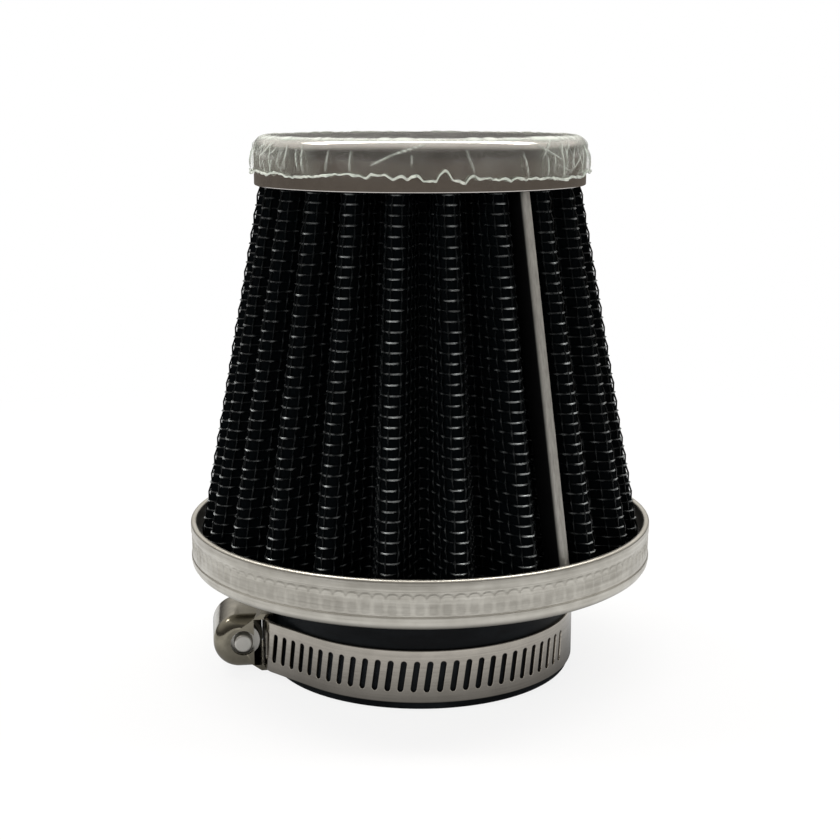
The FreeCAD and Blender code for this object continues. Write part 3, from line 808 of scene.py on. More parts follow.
@dataclass
class NeckAndRing:
    """The rubber neck, the fluted ring that it carries and the resin in the ring."""

    bore: float = 25.0
    outside: float = NECK_RADIUS
    bore_ease: float = 0.12
    mouth_round: float = 0.7
    neck_side: float = 3.0
    neck_segments: int = 240
    flange: float = 33.0
    flange_fillet: float = 0.4
    flange_ease: float = 0.3
    groove: float = 30.8
    flange_foot: float = 19.2
    floor_under: float = 20.4
    floor_top: float = 21.2
    flange_top: float = 23.1
    ring: float = 44.7
    ring_side: float = 3.5
    ring_arc_steps: int = 4
    bead_round: float = 1.8
    bead_ease: float = 0.15
    bead_top: float = 22.8
    waist: float = 44.52
    waist_foot: float = 23.05
    waist_head: float = 27.3
    waist_step: float = 0.2
    waist_reach: float = 0.1
    hem_foot: float = 27.6
    hem_ease: float = 0.2
    lip: float = RING_LIP
    hem_round: float = 0.5
    lip_inside: float = 43.5
    channel: float = 43.55
    flutes: int = 120
    flute_foot: float = 23.3
    flute_head: float = 26.7
    flute_run_out: float = 2.3
    flute_half: float = 0.99
    flute_round: float = 0.65
    flute_edge: float = 0.3
    flute_end: float = 1.5
    flute_depth: float = 0.12
    flute_burr: float = 0.085
    burr_place: float = -0.05
    burr_width: float = 0.09
    burr_at_foot: float = 0.35
    steps_per_flute: int = 12
    sharp: float = 50.0

    def neck_shape(self) -> Shape:
        """The neck's mesh.

        Returns:
            Points and faces.
        """
        profile = rounded([
            (self.bore, 0.0, self.bore_ease),
            (self.outside, 0.0, self.mouth_round),
            (self.outside, self.flange_foot, self.flange_fillet),
            (self.flange, self.flange_foot, self.flange_ease),
            (self.flange, self.floor_under),
            (self.groove, self.floor_under),
            (self.groove, self.floor_top),
            (self.flange, self.floor_top),
            (self.flange, self.flange_top, self.flange_ease),
            (self.bore, self.flange_top, self.flange_ease),
        ])
        return lathe(divided(profile, self.neck_side), self.neck_segments)

    def flute_dent(self, bearings: np.ndarray, radii: np.ndarray, heights: np.ndarray) -> np.ndarray:
        """How far the waist is pushed out; the flutes are round-ended hollows with a faint burr.

        Args:
            bearings: Bearings of the points.
            radii: Their radii.
            heights: Their heights.

        Returns:
            The push outwards, in millimetres.
        """
        pitch = 360.0 / self.flutes
        across = np.radians((bearings + pitch / 2.0) % pitch - pitch / 2.0) * radii
        core = self.flute_half - self.flute_round
        beyond_side = np.abs(across) - np.clip(np.abs(across), 0.0, core)
        long_round = self.flute_round * self.flute_end
        low, high = self.flute_foot + long_round, self.flute_head - long_round
        beyond_end = (heights - np.clip(heights, low, high)) / self.flute_end
        inside = self.flute_round - np.hypot(beyond_side, beyond_end)
        runs_out = smooth_step(heights, self.flute_foot, self.flute_foot + self.flute_run_out)
        hollow = smooth_step(inside, 0.0, self.flute_edge) * runs_out
        burr = hump(inside, self.burr_place, self.burr_width)
        burr = burr * (self.burr_at_foot + (1.0 - self.burr_at_foot) * runs_out)
        outer_face = np.abs(radii - self.waist) < self.waist_reach
        return np.where(outer_face, self.flute_burr * burr - self.flute_depth * hollow, 0.0)

    def ring_shape(self) -> Shape:
        """The ring's mesh, with its flutes.

        Returns:
            Points and faces.
        """
        profile = rounded([
            (self.groove, self.floor_under),
            (self.ring, self.floor_under, self.bead_round),
            (self.ring, self.bead_top, self.bead_ease),
            (self.waist, self.waist_foot, self.bead_ease),
            (self.waist, self.waist_head, self.hem_ease),
            (self.ring, self.hem_foot, self.hem_ease),
            (self.ring, self.lip, self.hem_round),
            (self.lip_inside, self.lip, self.hem_round),
            (self.lip_inside, self.hem_foot),
            (self.channel, self.waist_head),
            (self.channel, self.floor_top),
            (self.groove, self.floor_top),
        ], self.ring_arc_steps)
        fine = divided(profile, self.ring_side, (self.waist, self.waist_step))
        return lathe(fine, self.flutes * self.steps_per_flute, self.flute_dent)

    def dress(self) -> None:
        """Build the neck and the ring, and finish the resin bed."""
        neck = new_piece("neck_rubber_sleeve", self.neck_shape(), RUBBER, self.sharp)
        settle(neck, RUBBER, Body.FILTER, "neck_sleeve")
        ring = new_piece("fluted_ring", self.ring_shape(), ALUMINIUM, self.sharp)
        settle(ring, ALUMINIUM, Body.FILTER, "base_ring")
        dress_node("base_potting", RESIN)


@dataclass
class PleatPack:
    """The pleated layers: woven black wire over felt, and the strip over the seam."""

    foot: float = 25.5
    head: float = 97.0
    lip: float = RING_LIP
    show: float = 63.8
    ridge_at_lip: float = 42.2
    ridge_at_cap: float = 30.3
    pleats: int = 22
    depth_share: float = 0.24
    crowding: float = 0.19
    seam: float = SEAM_BEARING
    seam_spread: float = 1.2
    ridge_round: float = 2.1
    crease_round: float = 0.6
    cloth: float = 0.45
    strip_room: float = 0.75
    wire: float = 0.34
    wire_sides: int = 4
    crest_glint_depth: Span = (0.09, 0.24)
    under_dip: float = 0.2
    glint_dots: Span = (0.24, 0.05)
    head_shade: float = 0.68
    row_pitch: float = 1.765
    warps: int = 232
    arc_steps: int = 10
    unevenness: float = 0.13
    rough_path: float = 400.0
    wander_spread: float = 0.6
    wander_cells: tuple[int, int] = (4, 6)
    first_row: float = 0.5
    row_room: float = 0.6
    strip_ease: float = 0.15
    seed: int = 22

    def ridge_radius(self, height: float | np.ndarray) -> float | np.ndarray:
        """The ridges' outer radius at a height."""
        return self.ridge_at_lip + (self.ridge_at_cap - self.ridge_at_lip) * (height - self.lip) / self.show

    def ridge_bearings(self) -> np.ndarray:
        """Bearings of the ridges, going round from the seam; they crowd and spread twice round.

        Returns:
            One bearing for each ridge.
        """
        gap = 360.0 / self.pleats * self.seam_spread
        pitch = (360.0 - gap) / (self.pleats - 1)
        order = np.arange(self.pleats)
        sway = self.crowding * pitch * np.sin(4.0 * math.pi * order / (self.pleats - 1))
        return self.seam + gap / 2.0 + order * pitch + sway

    def folds(self, height: float) -> tuple[np.ndarray, np.ndarray]:
        """The folds of the outline at a height, from one side of the seam round to the other.

        Args:
            height: The height.

        Returns:
            Fold centres, and radii that are positive for ridges and negative for creases.
        """
        ridge = self.ridge_radius(height)
        crease = ridge * (1.0 - self.depth_share) + self.crease_round
        step = math.degrees(math.asin((self.cloth + self.crease_round) / crease))
        bearings = self.ridge_bearings()
        between = (bearings[:-1] + bearings[1:]) / 2.0
        centres = [radial(self.seam + step) * crease]
        radii = [-self.crease_round]
        for index, bearing in enumerate(bearings):
            centres.append(radial(bearing) * (ridge - self.ridge_round))
            radii.append(self.ridge_round)
            if index < len(between):
                centres.append(radial(between[index]) * crease)
                radii.append(-self.crease_round)
        centres.append(radial(self.seam - step) * crease)
        radii.append(-self.crease_round)
        return np.array(centres), np.array(radii)

    def outline(self, height: float, depth: float) -> tuple[np.ndarray, np.ndarray]:
        """The cloth's path at a height, from fin tip to fin tip.

        Args:
            height: The height.
            depth: How far inside the outer face the path lies.

        Returns:
            Points of the path, and outward directions there.
        """
        centres, radii = self.folds(height)
        span = np.diff(centres, axis=0)
        length = np.linalg.norm(span, axis=1)
        along = span / length[:, None]
        aside = np.column_stack([-along[:, 1], along[:, 0]])
        inward = np.sum(aside * (centres[:-1] + centres[1:]), axis=1) < 0.0
        aside[inward] *= -1.0
        lean = np.arccos((np.abs(radii[:-1]) + np.abs(radii[1:])) / length)
        towards = np.sign(radii[:-1])
        flanks = along * (np.cos(lean) * towards)[:, None] + aside * np.sin(lean)[:, None]
        seam_out = radial(self.seam)
        seam_aside = np.array([-seam_out[1], seam_out[0]])
        normals = np.vstack([seam_aside, flanks, -seam_aside])
        tip = seam_out * (self.ridge_radius(height) - self.strip_room)
        points = [tip + seam_aside * (self.cloth - depth)]
        facing = [seam_aside]
        share = np.linspace(0.0, 1.0, self.arc_steps + 1)
        for index, (centre, radius) in enumerate(zip(centres, radii)):
            start = math.atan2(normals[index][1], normals[index][0])
            end = math.atan2(normals[index + 1][1], normals[index + 1][0])
            sweep = (end - start + math.pi) % (2.0 * math.pi) - math.pi
            angles = start + sweep * share
            turned = np.column_stack([np.cos(angles), np.sin(angles)])
            points.extend(centre + turned * (radius - depth))
            facing.extend(turned)
        points.append(tip - seam_aside * (self.cloth - depth))
        facing.append(-seam_aside)
        return np.array(points), np.array(facing)

    def wander(self, shape: tuple[int, int], rng: np.random.Generator) -> np.ndarray:
        """Slow hand-made unevenness over the cloth.

        Args:
            shape: Rows and columns of the cloth.
            rng: Seeded source.

        Returns:
            Values about zero, most of them within one.
        """
        rows, columns = shape
        tall, wide = self.wander_cells
        coarse = rng.normal(0.0, self.wander_spread, (rows // tall + 2, columns // wide + 2))
        across = np.linspace(0.0, coarse.shape[1] - 1.001, columns)
        up = np.linspace(0.0, coarse.shape[0] - 1.001, rows)
        left, low = across.astype(int), up.astype(int)
        east, north = (across - left)[None, :], (up - low)[:, None]
        lower = coarse[low][:, left] * (1.0 - east) + coarse[low][:, left + 1] * east
        upper = coarse[low + 1][:, left] * (1.0 - east) + coarse[low + 1][:, left + 1] * east
        return lower * (1.0 - north) + upper * north

    def cloth_grid(self) -> tuple[np.ndarray, np.ndarray]:
        """Points of the cloth's middle face at every half row and half warp.

        Returns:
            Points and outward directions; the axes are half row, half warp, x y z.
        """
        rng = np.random.default_rng(self.seed)
        rows = int((self.head - self.foot - self.row_room) / self.row_pitch)
        heights = self.foot + self.first_row + np.arange(2 * rows + 1) * self.row_pitch / 2.0
        stations = np.linspace(0.0, 1.0, 2 * self.warps + 1)
        shape = (len(heights), len(stations))
        slide = self.wander(shape, rng) * self.unevenness / self.rough_path
        lift = self.wander(shape, rng) * self.unevenness
        slide[:, [0, -1]] = 0.0
        points = np.zeros((*shape, 3))
        facing = np.zeros((*shape, 3))
        for row, height in enumerate(heights):
            path, outward = self.outline(float(height), self.cloth / 2.0)
            run = np.concatenate([[0.0], np.cumsum(np.linalg.norm(np.diff(path, axis=0), axis=1))])
            wanted = np.clip(stations + slide[row], 0.0, 1.0) * run[-1]
            for axis in range(2):
                points[row, :, axis] = np.interp(wanted, run, path[:, axis])
                facing[row, :, axis] = np.interp(wanted, run, outward[:, axis])
            points[row, :, 2] = height
        points[..., 2] += lift
        return points, unit(facing)

    def weave(self) -> dict[str, tuple[Shape, np.ndarray]]:
        """The crossing wires, over and under each other by a wire's radius.

        Returns:
            For the level and for the upright wires, the mesh and the root of each point's painted
            highlight, with painted shade towards the cap.
        """
        points, facing = self.cloth_grid()
        half_row = np.arange(points.shape[0])[:, None]
        half_warp = np.arange(points.shape[1])[None, :]
        over = np.cos(math.pi * half_row / 2.0) * np.cos(math.pi * half_warp / 2.0)
        lift = facing * (over * self.wire / 2.0)[..., None]
        level = tubes((points + lift)[::2], facing[::2], self.wire / 2.0, self.wire_sides)
        uprights = np.swapaxes((points - lift)[:, ::2], 0, 1)
        upright = tubes(uprights, np.swapaxes(facing[:, ::2], 0, 1), self.wire / 2.0, self.wire_sides)
        reach = np.hypot(points[..., 0], points[..., 1]) + self.cloth / 2.0
        depth = self.ridge_radius(points[..., 2]) - reach
        # Painted shade: the wires darken towards the cap, whose overhang shades them.
        cap_shade_factor = 1.0 - self.head_shade * np.clip((points[..., 2] - self.lip) / self.show, 0.0, 1.0)
        # Painted highlight: glints along each ridge's crest, and fainter dots at the crossings.
        crest = (1.0 - smooth_step(depth, *self.crest_glint_depth)) * (1.0 - self.under_dip * (1.0 - over))
        level_glint, upright_glint = self.glint_dots
        level_glint_share = (np.maximum(crest, level_glint * np.clip(over, 0.0, 1.0)) * cap_shade_factor)[::2]
        upright_glint_share = (upright_glint * np.clip(-over, 0.0, 1.0) * cap_shade_factor)[:, ::2].T
        return {
            "level_wires": (level, np.repeat(np.sqrt(level_glint_share.ravel()), self.wire_sides)),
            "upright_wires": (upright, np.repeat(np.sqrt(upright_glint_share.ravel()), self.wire_sides)),
        }

    def dress(self) -> None:
        """Weave the outer mesh and finish the layers behind it and the strip."""
        for name, (shape, bare) in self.weave().items():
            wires = new_piece(name, shape, WIRE)
            # The mark holds each wire point's painted highlight and painted shade.
            mark(wires, WIRE.mask, bare)
            settle(wires, WIRE, Body.FILTER, "outer_mesh")
        dress_node("filter_media", CLOTH)
        dress_node("inner_mesh", INNER_WEAVE)
        dress_node("seam_strip", STRIP_STEEL, self.strip_ease)


@dataclass(frozen=True)
class Crease:
    """One fold in the film: a line from one place to another, by bearing and height."""

    start: Span
    end: Span
    rise: float = 0.24
    width: float = 0.2


@dataclass(frozen=True)
class FilmRow:
    """One ring of the film: its radius and height, the share of the way to the torn edge, and its tilt.

    The tilt is degrees from the top face; rings on the top face count it down with their way in.
    """

    radius: float
    height: float
    share: float
    tilt: float


@dataclass
class CapAndFilm:
    """The bright cap, the resin in it, and the creased film that still clings to it."""

    cap: float = 31.1
    cap_foot: float = 93.3
    cap_top: float = 102.3
    cap_round: float = 2.2
    cap_sheet: float = 0.6
    cap_foot_eases: Span = (0.2, 0.25)
    cap_arc_steps: int = 10
    cap_side: float = 2.5
    cap_segments: int = 256
    cap_sharp: float = 50.0
    film_gap: float = 0.12
    film_sheet: float = 0.07
    film_slack: float = 0.55
    slack_peak: float = 1.6
    film_foot: float = 95.9
    segments: int = 720
    fine_top: float = 5.0
    fine_gap: float = 1.0
    inner_rows: int = 8
    outer_rows: int = 11
    shoulder_rows: int = 13
    skirt_rows: int = 19
    top_tilt: float = 8.0
    top_squeeze: float = 0.35
    full_tilt: float = 60.0
    crease_end: float = 0.12
    crease_milk: float = 3.0
    milk_width: float = 0.7
    back_creases: int = 46
    back_bearings: Span = (70.0, 290.0)
    back_tops: Span = (99.4, 101.6)
    back_feet: Span = (95.8, 98.2)
    back_lean: float = 3.0
    back_rises: Span = (0.12, 0.32)
    side_creases: int = 20
    side_bearings: Span = (46.0, 88.0)
    side_middles: Span = (97.0, 101.0)
    side_halves: Span = (0.4, 1.9)
    side_lean: float = 4.5
    side_rises: Span = (0.1, 0.26)
    back_edge: tuple[float, float, float] = (74.0, 287.0, 2.6)
    back_tear: float = 0.33
    edge_ripple: tuple[int, float] = (2, 0.09)
    drape_ripple: tuple[int, float] = (9, 0.5)
    drape_reach: float = 0.16
    pucker_ripple: tuple[int, float] = (6, 0.7)
    pucker_tilt: Span = (-2.0, 16.0)
    rim_rise: float = 0.15
    rim_tilt: Span = (22.0, 18.0)
    rim_milk_and_highlight: Span = (0.38, 0.55)
    cloud_ripple: tuple[int, float] = (15, 0.4)
    cloud_milk: Span = (0.03, 0.17)
    sheen_bearings: Span = (22.0, 74.0)
    curl: float = 0.24
    curl_ripple: tuple[int, float] = (3, 0.3)
    curl_size: tuple[float, float, float] = (0.75, 0.3, 1.35)
    curl_rows: int = 8
    curl_turn: float = 1.35
    curl_taper: float = 0.25
    torn_ripple: tuple[int, float] = (2, 0.2)
    torn_milk: tuple[float, float, float] = (0.85, 0.4, 1.2)
    foot_milk: float = 0.8
    seed: int = 7
    edge_marks: tuple[Span, ...] = (
        (-74.0, 96.2), (-63.8, 96.1), (-59.1, 95.8), (-53.0, 96.3), (-46.8, 95.7), (-41.4, 95.7),
        (-35.6, 95.9), (-27.1, 96.4), (-20.9, 96.3), (-16.4, 95.9), (-15.0, 96.5), (-10.3, 96.4),
        (-8.2, 95.6), (-5.8, 96.3), (-3.7, 95.7), (-2.3, 96.3), (-0.3, 96.2), (1.1, 95.4), (4.9, 95.4),
        (5.9, 96.5), (7.3, 97.1), (8.7, 96.7), (10.1, 95.5), (14.0, 95.0), (15.8, 96.1), (16.9, 96.2),
        (18.8, 95.5), (22.5, 95.8), (24.9, 95.4), (27.2, 95.7), (29.7, 95.3), (31.4, 95.8),
        (35.8, 95.4), (45.9, 95.6), (52.0, 95.1), (59.5, 95.3), (68.0, 95.2),
    )
    front_creases: tuple[Crease, ...] = (
        Crease((-65.4, 101.0), (-63.6, 96.7)),
        Crease((-58.5, 101.4), (-56.4, 96.8)),
        Crease((-53.6, 100.6), (-57.2, 99.4), 0.2),
        Crease((-48.0, 101.1), (-48.3, 97.0)),
        Crease((-43.5, 100.4), (-41.6, 97.1)),
        Crease((-40.9, 101.2), (-39.6, 96.7)),
        Crease((-29.9, 100.1), (-30.4, 96.9), 0.18),
        Crease((-21.9, 100.2), (-21.9, 97.0), 0.16),
        Crease((-15.2, 98.0), (-8.7, 99.7), 0.2),
        Crease((-8.7, 99.7), (1.8, 101.6), 0.25),
        Crease((-2.4, 99.7), (-2.5, 98.2), 0.12),
        Crease((14.5, 100.6), (16.8, 96.8), 0.14),
        Crease((34.4, 99.7), (35.9, 96.0)),
        Crease((44.3, 99.6), (44.5, 95.9)),
        Crease((40.1, 101.4), (52.9, 98.3), 0.2),
        Crease((52.7, 101.2), (52.4, 95.7)),
        Crease((59.8, 99.7), (57.5, 96.2)),
        Crease((63.6, 99.7), (67.6, 95.7)),
        Crease((69.8, 100.0), (66.2, 96.8)),
    )
    creases: list[Crease] = field(default_factory=list)

    def cap_shape(self) -> Shape:
        """The cap's mesh.

        Returns:
            Points and faces.
        """
        ceiling = self.cap_top - self.cap_sheet
        inside = self.cap - self.cap_sheet
        profile = rounded([
            (0.0, ceiling),
            (inside, ceiling, self.cap_round - self.cap_sheet),
            (inside, self.cap_foot, self.cap_foot_eases[0]),
            (self.cap, self.cap_foot, self.cap_foot_eases[1]),
            (self.cap, self.cap_top, self.cap_round),
            (0.0, self.cap_top),
        ], self.cap_arc_steps)
        return lathe(divided(profile, self.cap_side)[::-1], self.cap_segments)

    def scatter_creases(self, rng: np.random.Generator) -> None:
        """Creases for the back and the two sides, besides those in front.

        Args:
            rng: Seeded source.
        """
        self.creases = list(self.front_creases)
        for _ in range(self.back_creases):
            bearing = rng.uniform(*self.back_bearings)
            high = rng.uniform(*self.back_tops)
            low = rng.uniform(*self.back_feet)
            lean = rng.normal(0.0, self.back_lean)
            rise = rng.uniform(*self.back_rises)
            self.creases.append(Crease((bearing, high), (bearing + lean, low), rise))
        for side in (-1.0, 1.0):
            for bearing in rng.uniform(*self.side_bearings, self.side_creases):
                middle, half = rng.uniform(*self.side_middles), rng.uniform(*self.side_halves)
                lean, rise = rng.normal(0.0, self.side_lean), rng.uniform(*self.side_rises)
                self.creases.append(Crease(
                    (side * bearing, middle + half), (side * bearing + lean, middle - half), rise))

    def edge_heights(self, bearings: np.ndarray, rng: np.random.Generator) -> np.ndarray:
        """Height of the torn edge all round.

        Args:
            bearings: Bearings from -180 to 180.
            rng: Seeded source.

        Returns:
            One height for each bearing.
        """
        marks = np.array(self.edge_marks)
        far = np.arange(*self.back_edge)
        torn = self.film_foot + rng.normal(0.0, self.back_tear, len(far))
        places = np.concatenate([marks[:, 0], far])
        heights = np.concatenate([marks[:, 1], torn])
        turn = (bearings - places[0]) % 360.0 + places[0]
        ragged = np.interp(turn, np.append(places, places[0] + 360.0), np.append(heights, heights[0]))
        return ragged + self.ripple(rng, *self.edge_ripple)

    def ripple(self, rng: np.random.Generator, every: int, spread: float) -> np.ndarray:
        """Random values that run smoothly round the film.

        Args:
            rng: Seeded source.
            every: Segments from one drawn value to the next.
            spread: Standard deviation of the values.

        Returns:
            One value for each segment.
        """
        drawn = rng.normal(0.0, spread, self.segments // every)
        places = np.arange(len(drawn) + 1) * every
        return np.interp(np.arange(self.segments), places, np.append(drawn, drawn[0]))

    def folds_at(self, bearings: np.ndarray, heights: np.ndarray) -> tuple[np.ndarray, np.ndarray]:
        """How the creases lift the film, and how milky they make it.

        Args:
            bearings: Bearings of the points.
            heights: Heights of the points; above the cap's top they stand for the way in from its edge.

        Returns:
            Lift in millimetres, and milkiness from 0 to 1.
        """
        lift = np.zeros_like(bearings)
        milk = np.zeros_like(bearings)
        to_length = math.radians(1.0) * self.cap
        for crease in self.creases:
            middle = (crease.start[0] + crease.end[0]) / 2.0
            turn = (bearings - middle + 180.0) % 360.0 - 180.0
            start = np.array([(crease.start[0] - middle) * to_length, crease.start[1]])
            run = np.array([(crease.end[0] - middle) * to_length, crease.end[1]]) - start
            east, north = turn * to_length - start[0], heights - start[1]
            share = np.clip((east * run[0] + north * run[1]) / (run @ run), 0.0, 1.0)
            apart = np.hypot(east - share * run[0], north - share * run[1])
            taper = np.sqrt(np.clip(4.0 * share * (1.0 - share) + self.crease_end, 0.0, 1.0))
            lift = np.maximum(lift, crease.rise * taper * np.exp(-apart / crease.width))
            white = self.crease_milk * hump(apart, 0.0, self.milk_width * crease.width)
            milk = np.maximum(milk, crease.rise * taper * white)
        return lift, milk

    def film_rows(self) -> list[FilmRow]:
        """The film's section.

        Returns:
            Rows from the middle of the top to the skirt's foot.
        """
        reach = self.cap_round + self.film_gap
        corner = self.cap - self.cap_round
        level = self.cap_top + self.film_gap
        fine = corner - self.fine_top
        coarse = np.linspace(0.0, fine - self.fine_gap, self.inner_rows)
        radii = (*coarse, *np.linspace(fine, corner, self.outer_rows))
        rows = [FilmRow(radius, level, 0.0, self.top_tilt * (radius - corner)) for radius in radii]
        for tilt in np.linspace(0.0, 90.0, self.shoulder_rows)[1:]:
            angle = math.radians(tilt)
            rows.append(FilmRow(
                corner + reach * math.sin(angle), level - reach + reach * math.cos(angle), 0.0, tilt))
        for share in np.linspace(0.0, 1.0, self.skirt_rows)[1:]:
            slack = self.film_slack * (1.0 - (1.0 - self.slack_peak * share) ** 2)
            rows.append(FilmRow(self.cap + self.film_gap + slack, level - reach, share, 90.0))
        return rows

    def film_shape(self) -> tuple[Shape, np.ndarray]:
        """The film as a thin closed sheet with a curled torn edge.

        Returns:
            The mesh, and how milky each point is.
        """
        rng = np.random.default_rng(self.seed)
        self.scatter_creases(rng)
        bearings = np.arange(self.segments) * 360.0 / self.segments - 180.0
        edge = self.edge_heights(bearings, rng)
        drape = np.abs(self.ripple(rng, *self.drape_ripple))
        pucker = np.clip(np.abs(self.ripple(rng, *self.pucker_ripple)), 0.0, 1.0)
        cloud = np.clip(0.5 + self.ripple(rng, *self.cloud_ripple), 0.0, 1.0)
        clear, hazy = self.cloud_milk
        # Random haze, which grows towards the sides as seen from the camera, where the film is seen
        # edge-on: a painted sheen.
        cloud = cloud * (clear + hazy * smooth_step(np.abs(bearings), *self.sheen_bearings))
        # Along the shoulder the film is milky white, partly from its puckering and partly as a painted
        # highlight.
        rim_white_and_highlight = self.rim_milk_and_highlight[0] + self.rim_milk_and_highlight[1] * pucker
        outside: list[np.ndarray] = []
        milks: list[np.ndarray] = []
        for row in self.film_rows():
            heights = row.height - row.share * (row.height - edge)
            inset = max(0.0, self.cap - row.radius)
            lift, milk = self.folds_at(bearings, heights + inset * self.top_squeeze)
            side = min(1.0, max(0.0, row.tilt / self.full_tilt))
            reach = row.radius + side * lift + self.drape_reach * drape * row.share
            heights = heights + self.rim_rise * pucker * hump(row.tilt, *self.pucker_tilt)
            outside.append(np.column_stack([radial(bearings) * reach[:, None], heights]))
            rim = hump(row.tilt, *self.rim_tilt) * rim_white_and_highlight
            milks.append(np.clip(milk * side + rim + side * cloud, 0.0, 1.0))
        foot = outside[-1]
        out = np.column_stack([radial(bearings), np.zeros(self.segments)])
        middle, least, most = self.curl_size
        size = self.curl * np.clip(middle + self.ripple(rng, *self.curl_ripple), least, most)
        middle, least, most = self.torn_milk
        torn = np.clip(middle + self.ripple(rng, *self.torn_ripple), least, most)
        for angle in np.linspace(0.0, self.curl_turn * math.pi, self.curl_rows)[1:]:
            turn = size * (1.0 - self.curl_taper * angle / math.pi)
            rolled = out * (turn * (1.0 - math.cos(angle)))[:, None]
            rolled[:, 2] = -turn * math.sin(angle)
            outside.append(foot + rolled)
            milks.append(torn)
        milks[-self.curl_rows] = np.maximum(milks[-self.curl_rows], self.foot_milk * torn)
        return self.thin_sheet(outside, milks)

    def thin_sheet(self, rows: list[np.ndarray], milks: list[np.ndarray]) -> tuple[Shape, np.ndarray]:
        """Give rows of points a thickness and join them into one closed sheet.

        Args:
            rows: Points of the sheet, ring after ring; the first ring is its middle.
            milks: How milky the points are.

        Returns:
            The mesh, and how milky each of its points is.
        """
        grid = np.array(rows)
        ahead = np.gradient(grid, axis=0)
        around = np.roll(grid, -1, axis=1) - np.roll(grid, 1, axis=1)
        around[0] = around[1]
        normal = unit(np.cross(ahead, around) + np.array([0.0, 0.0, 1e-9]))
        normal[0] = np.array([0.0, 0.0, 1.0])
        under = grid - normal * self.film_sheet
        both = [*grid, *under[::-1]]
        shades = [*milks, *milks[::-1]]
        for order in (0, -1):
            both[order], shades[order] = both[order][:1], shades[order][:1]
        points, numbers = stack(both, self.segments)
        faces: list[tuple[int, ...]] = []
        for ring, following in zip(numbers, numbers[1:]):
            faces.extend(quads(ring, following, np.roll(following, -1), np.roll(ring, -1)))
        return (points, faces), np.concatenate(shades)

    def dress(self) -> None:
        """Build the cap and the film, and finish the resin."""
        cap = new_piece("bright_cap", self.cap_shape(), CHROME, self.cap_sharp)
        settle(cap, CHROME, Body.FILTER, "end_cap")
        shape, milk = self.film_shape()
        film = new_piece("creased_film", shape, FILM)
        mark(film, FILM.mask, milk)
        settle(film, FILM, Body.FILTER, "cap_film")
        dress_node("cap_potting", RESIN)


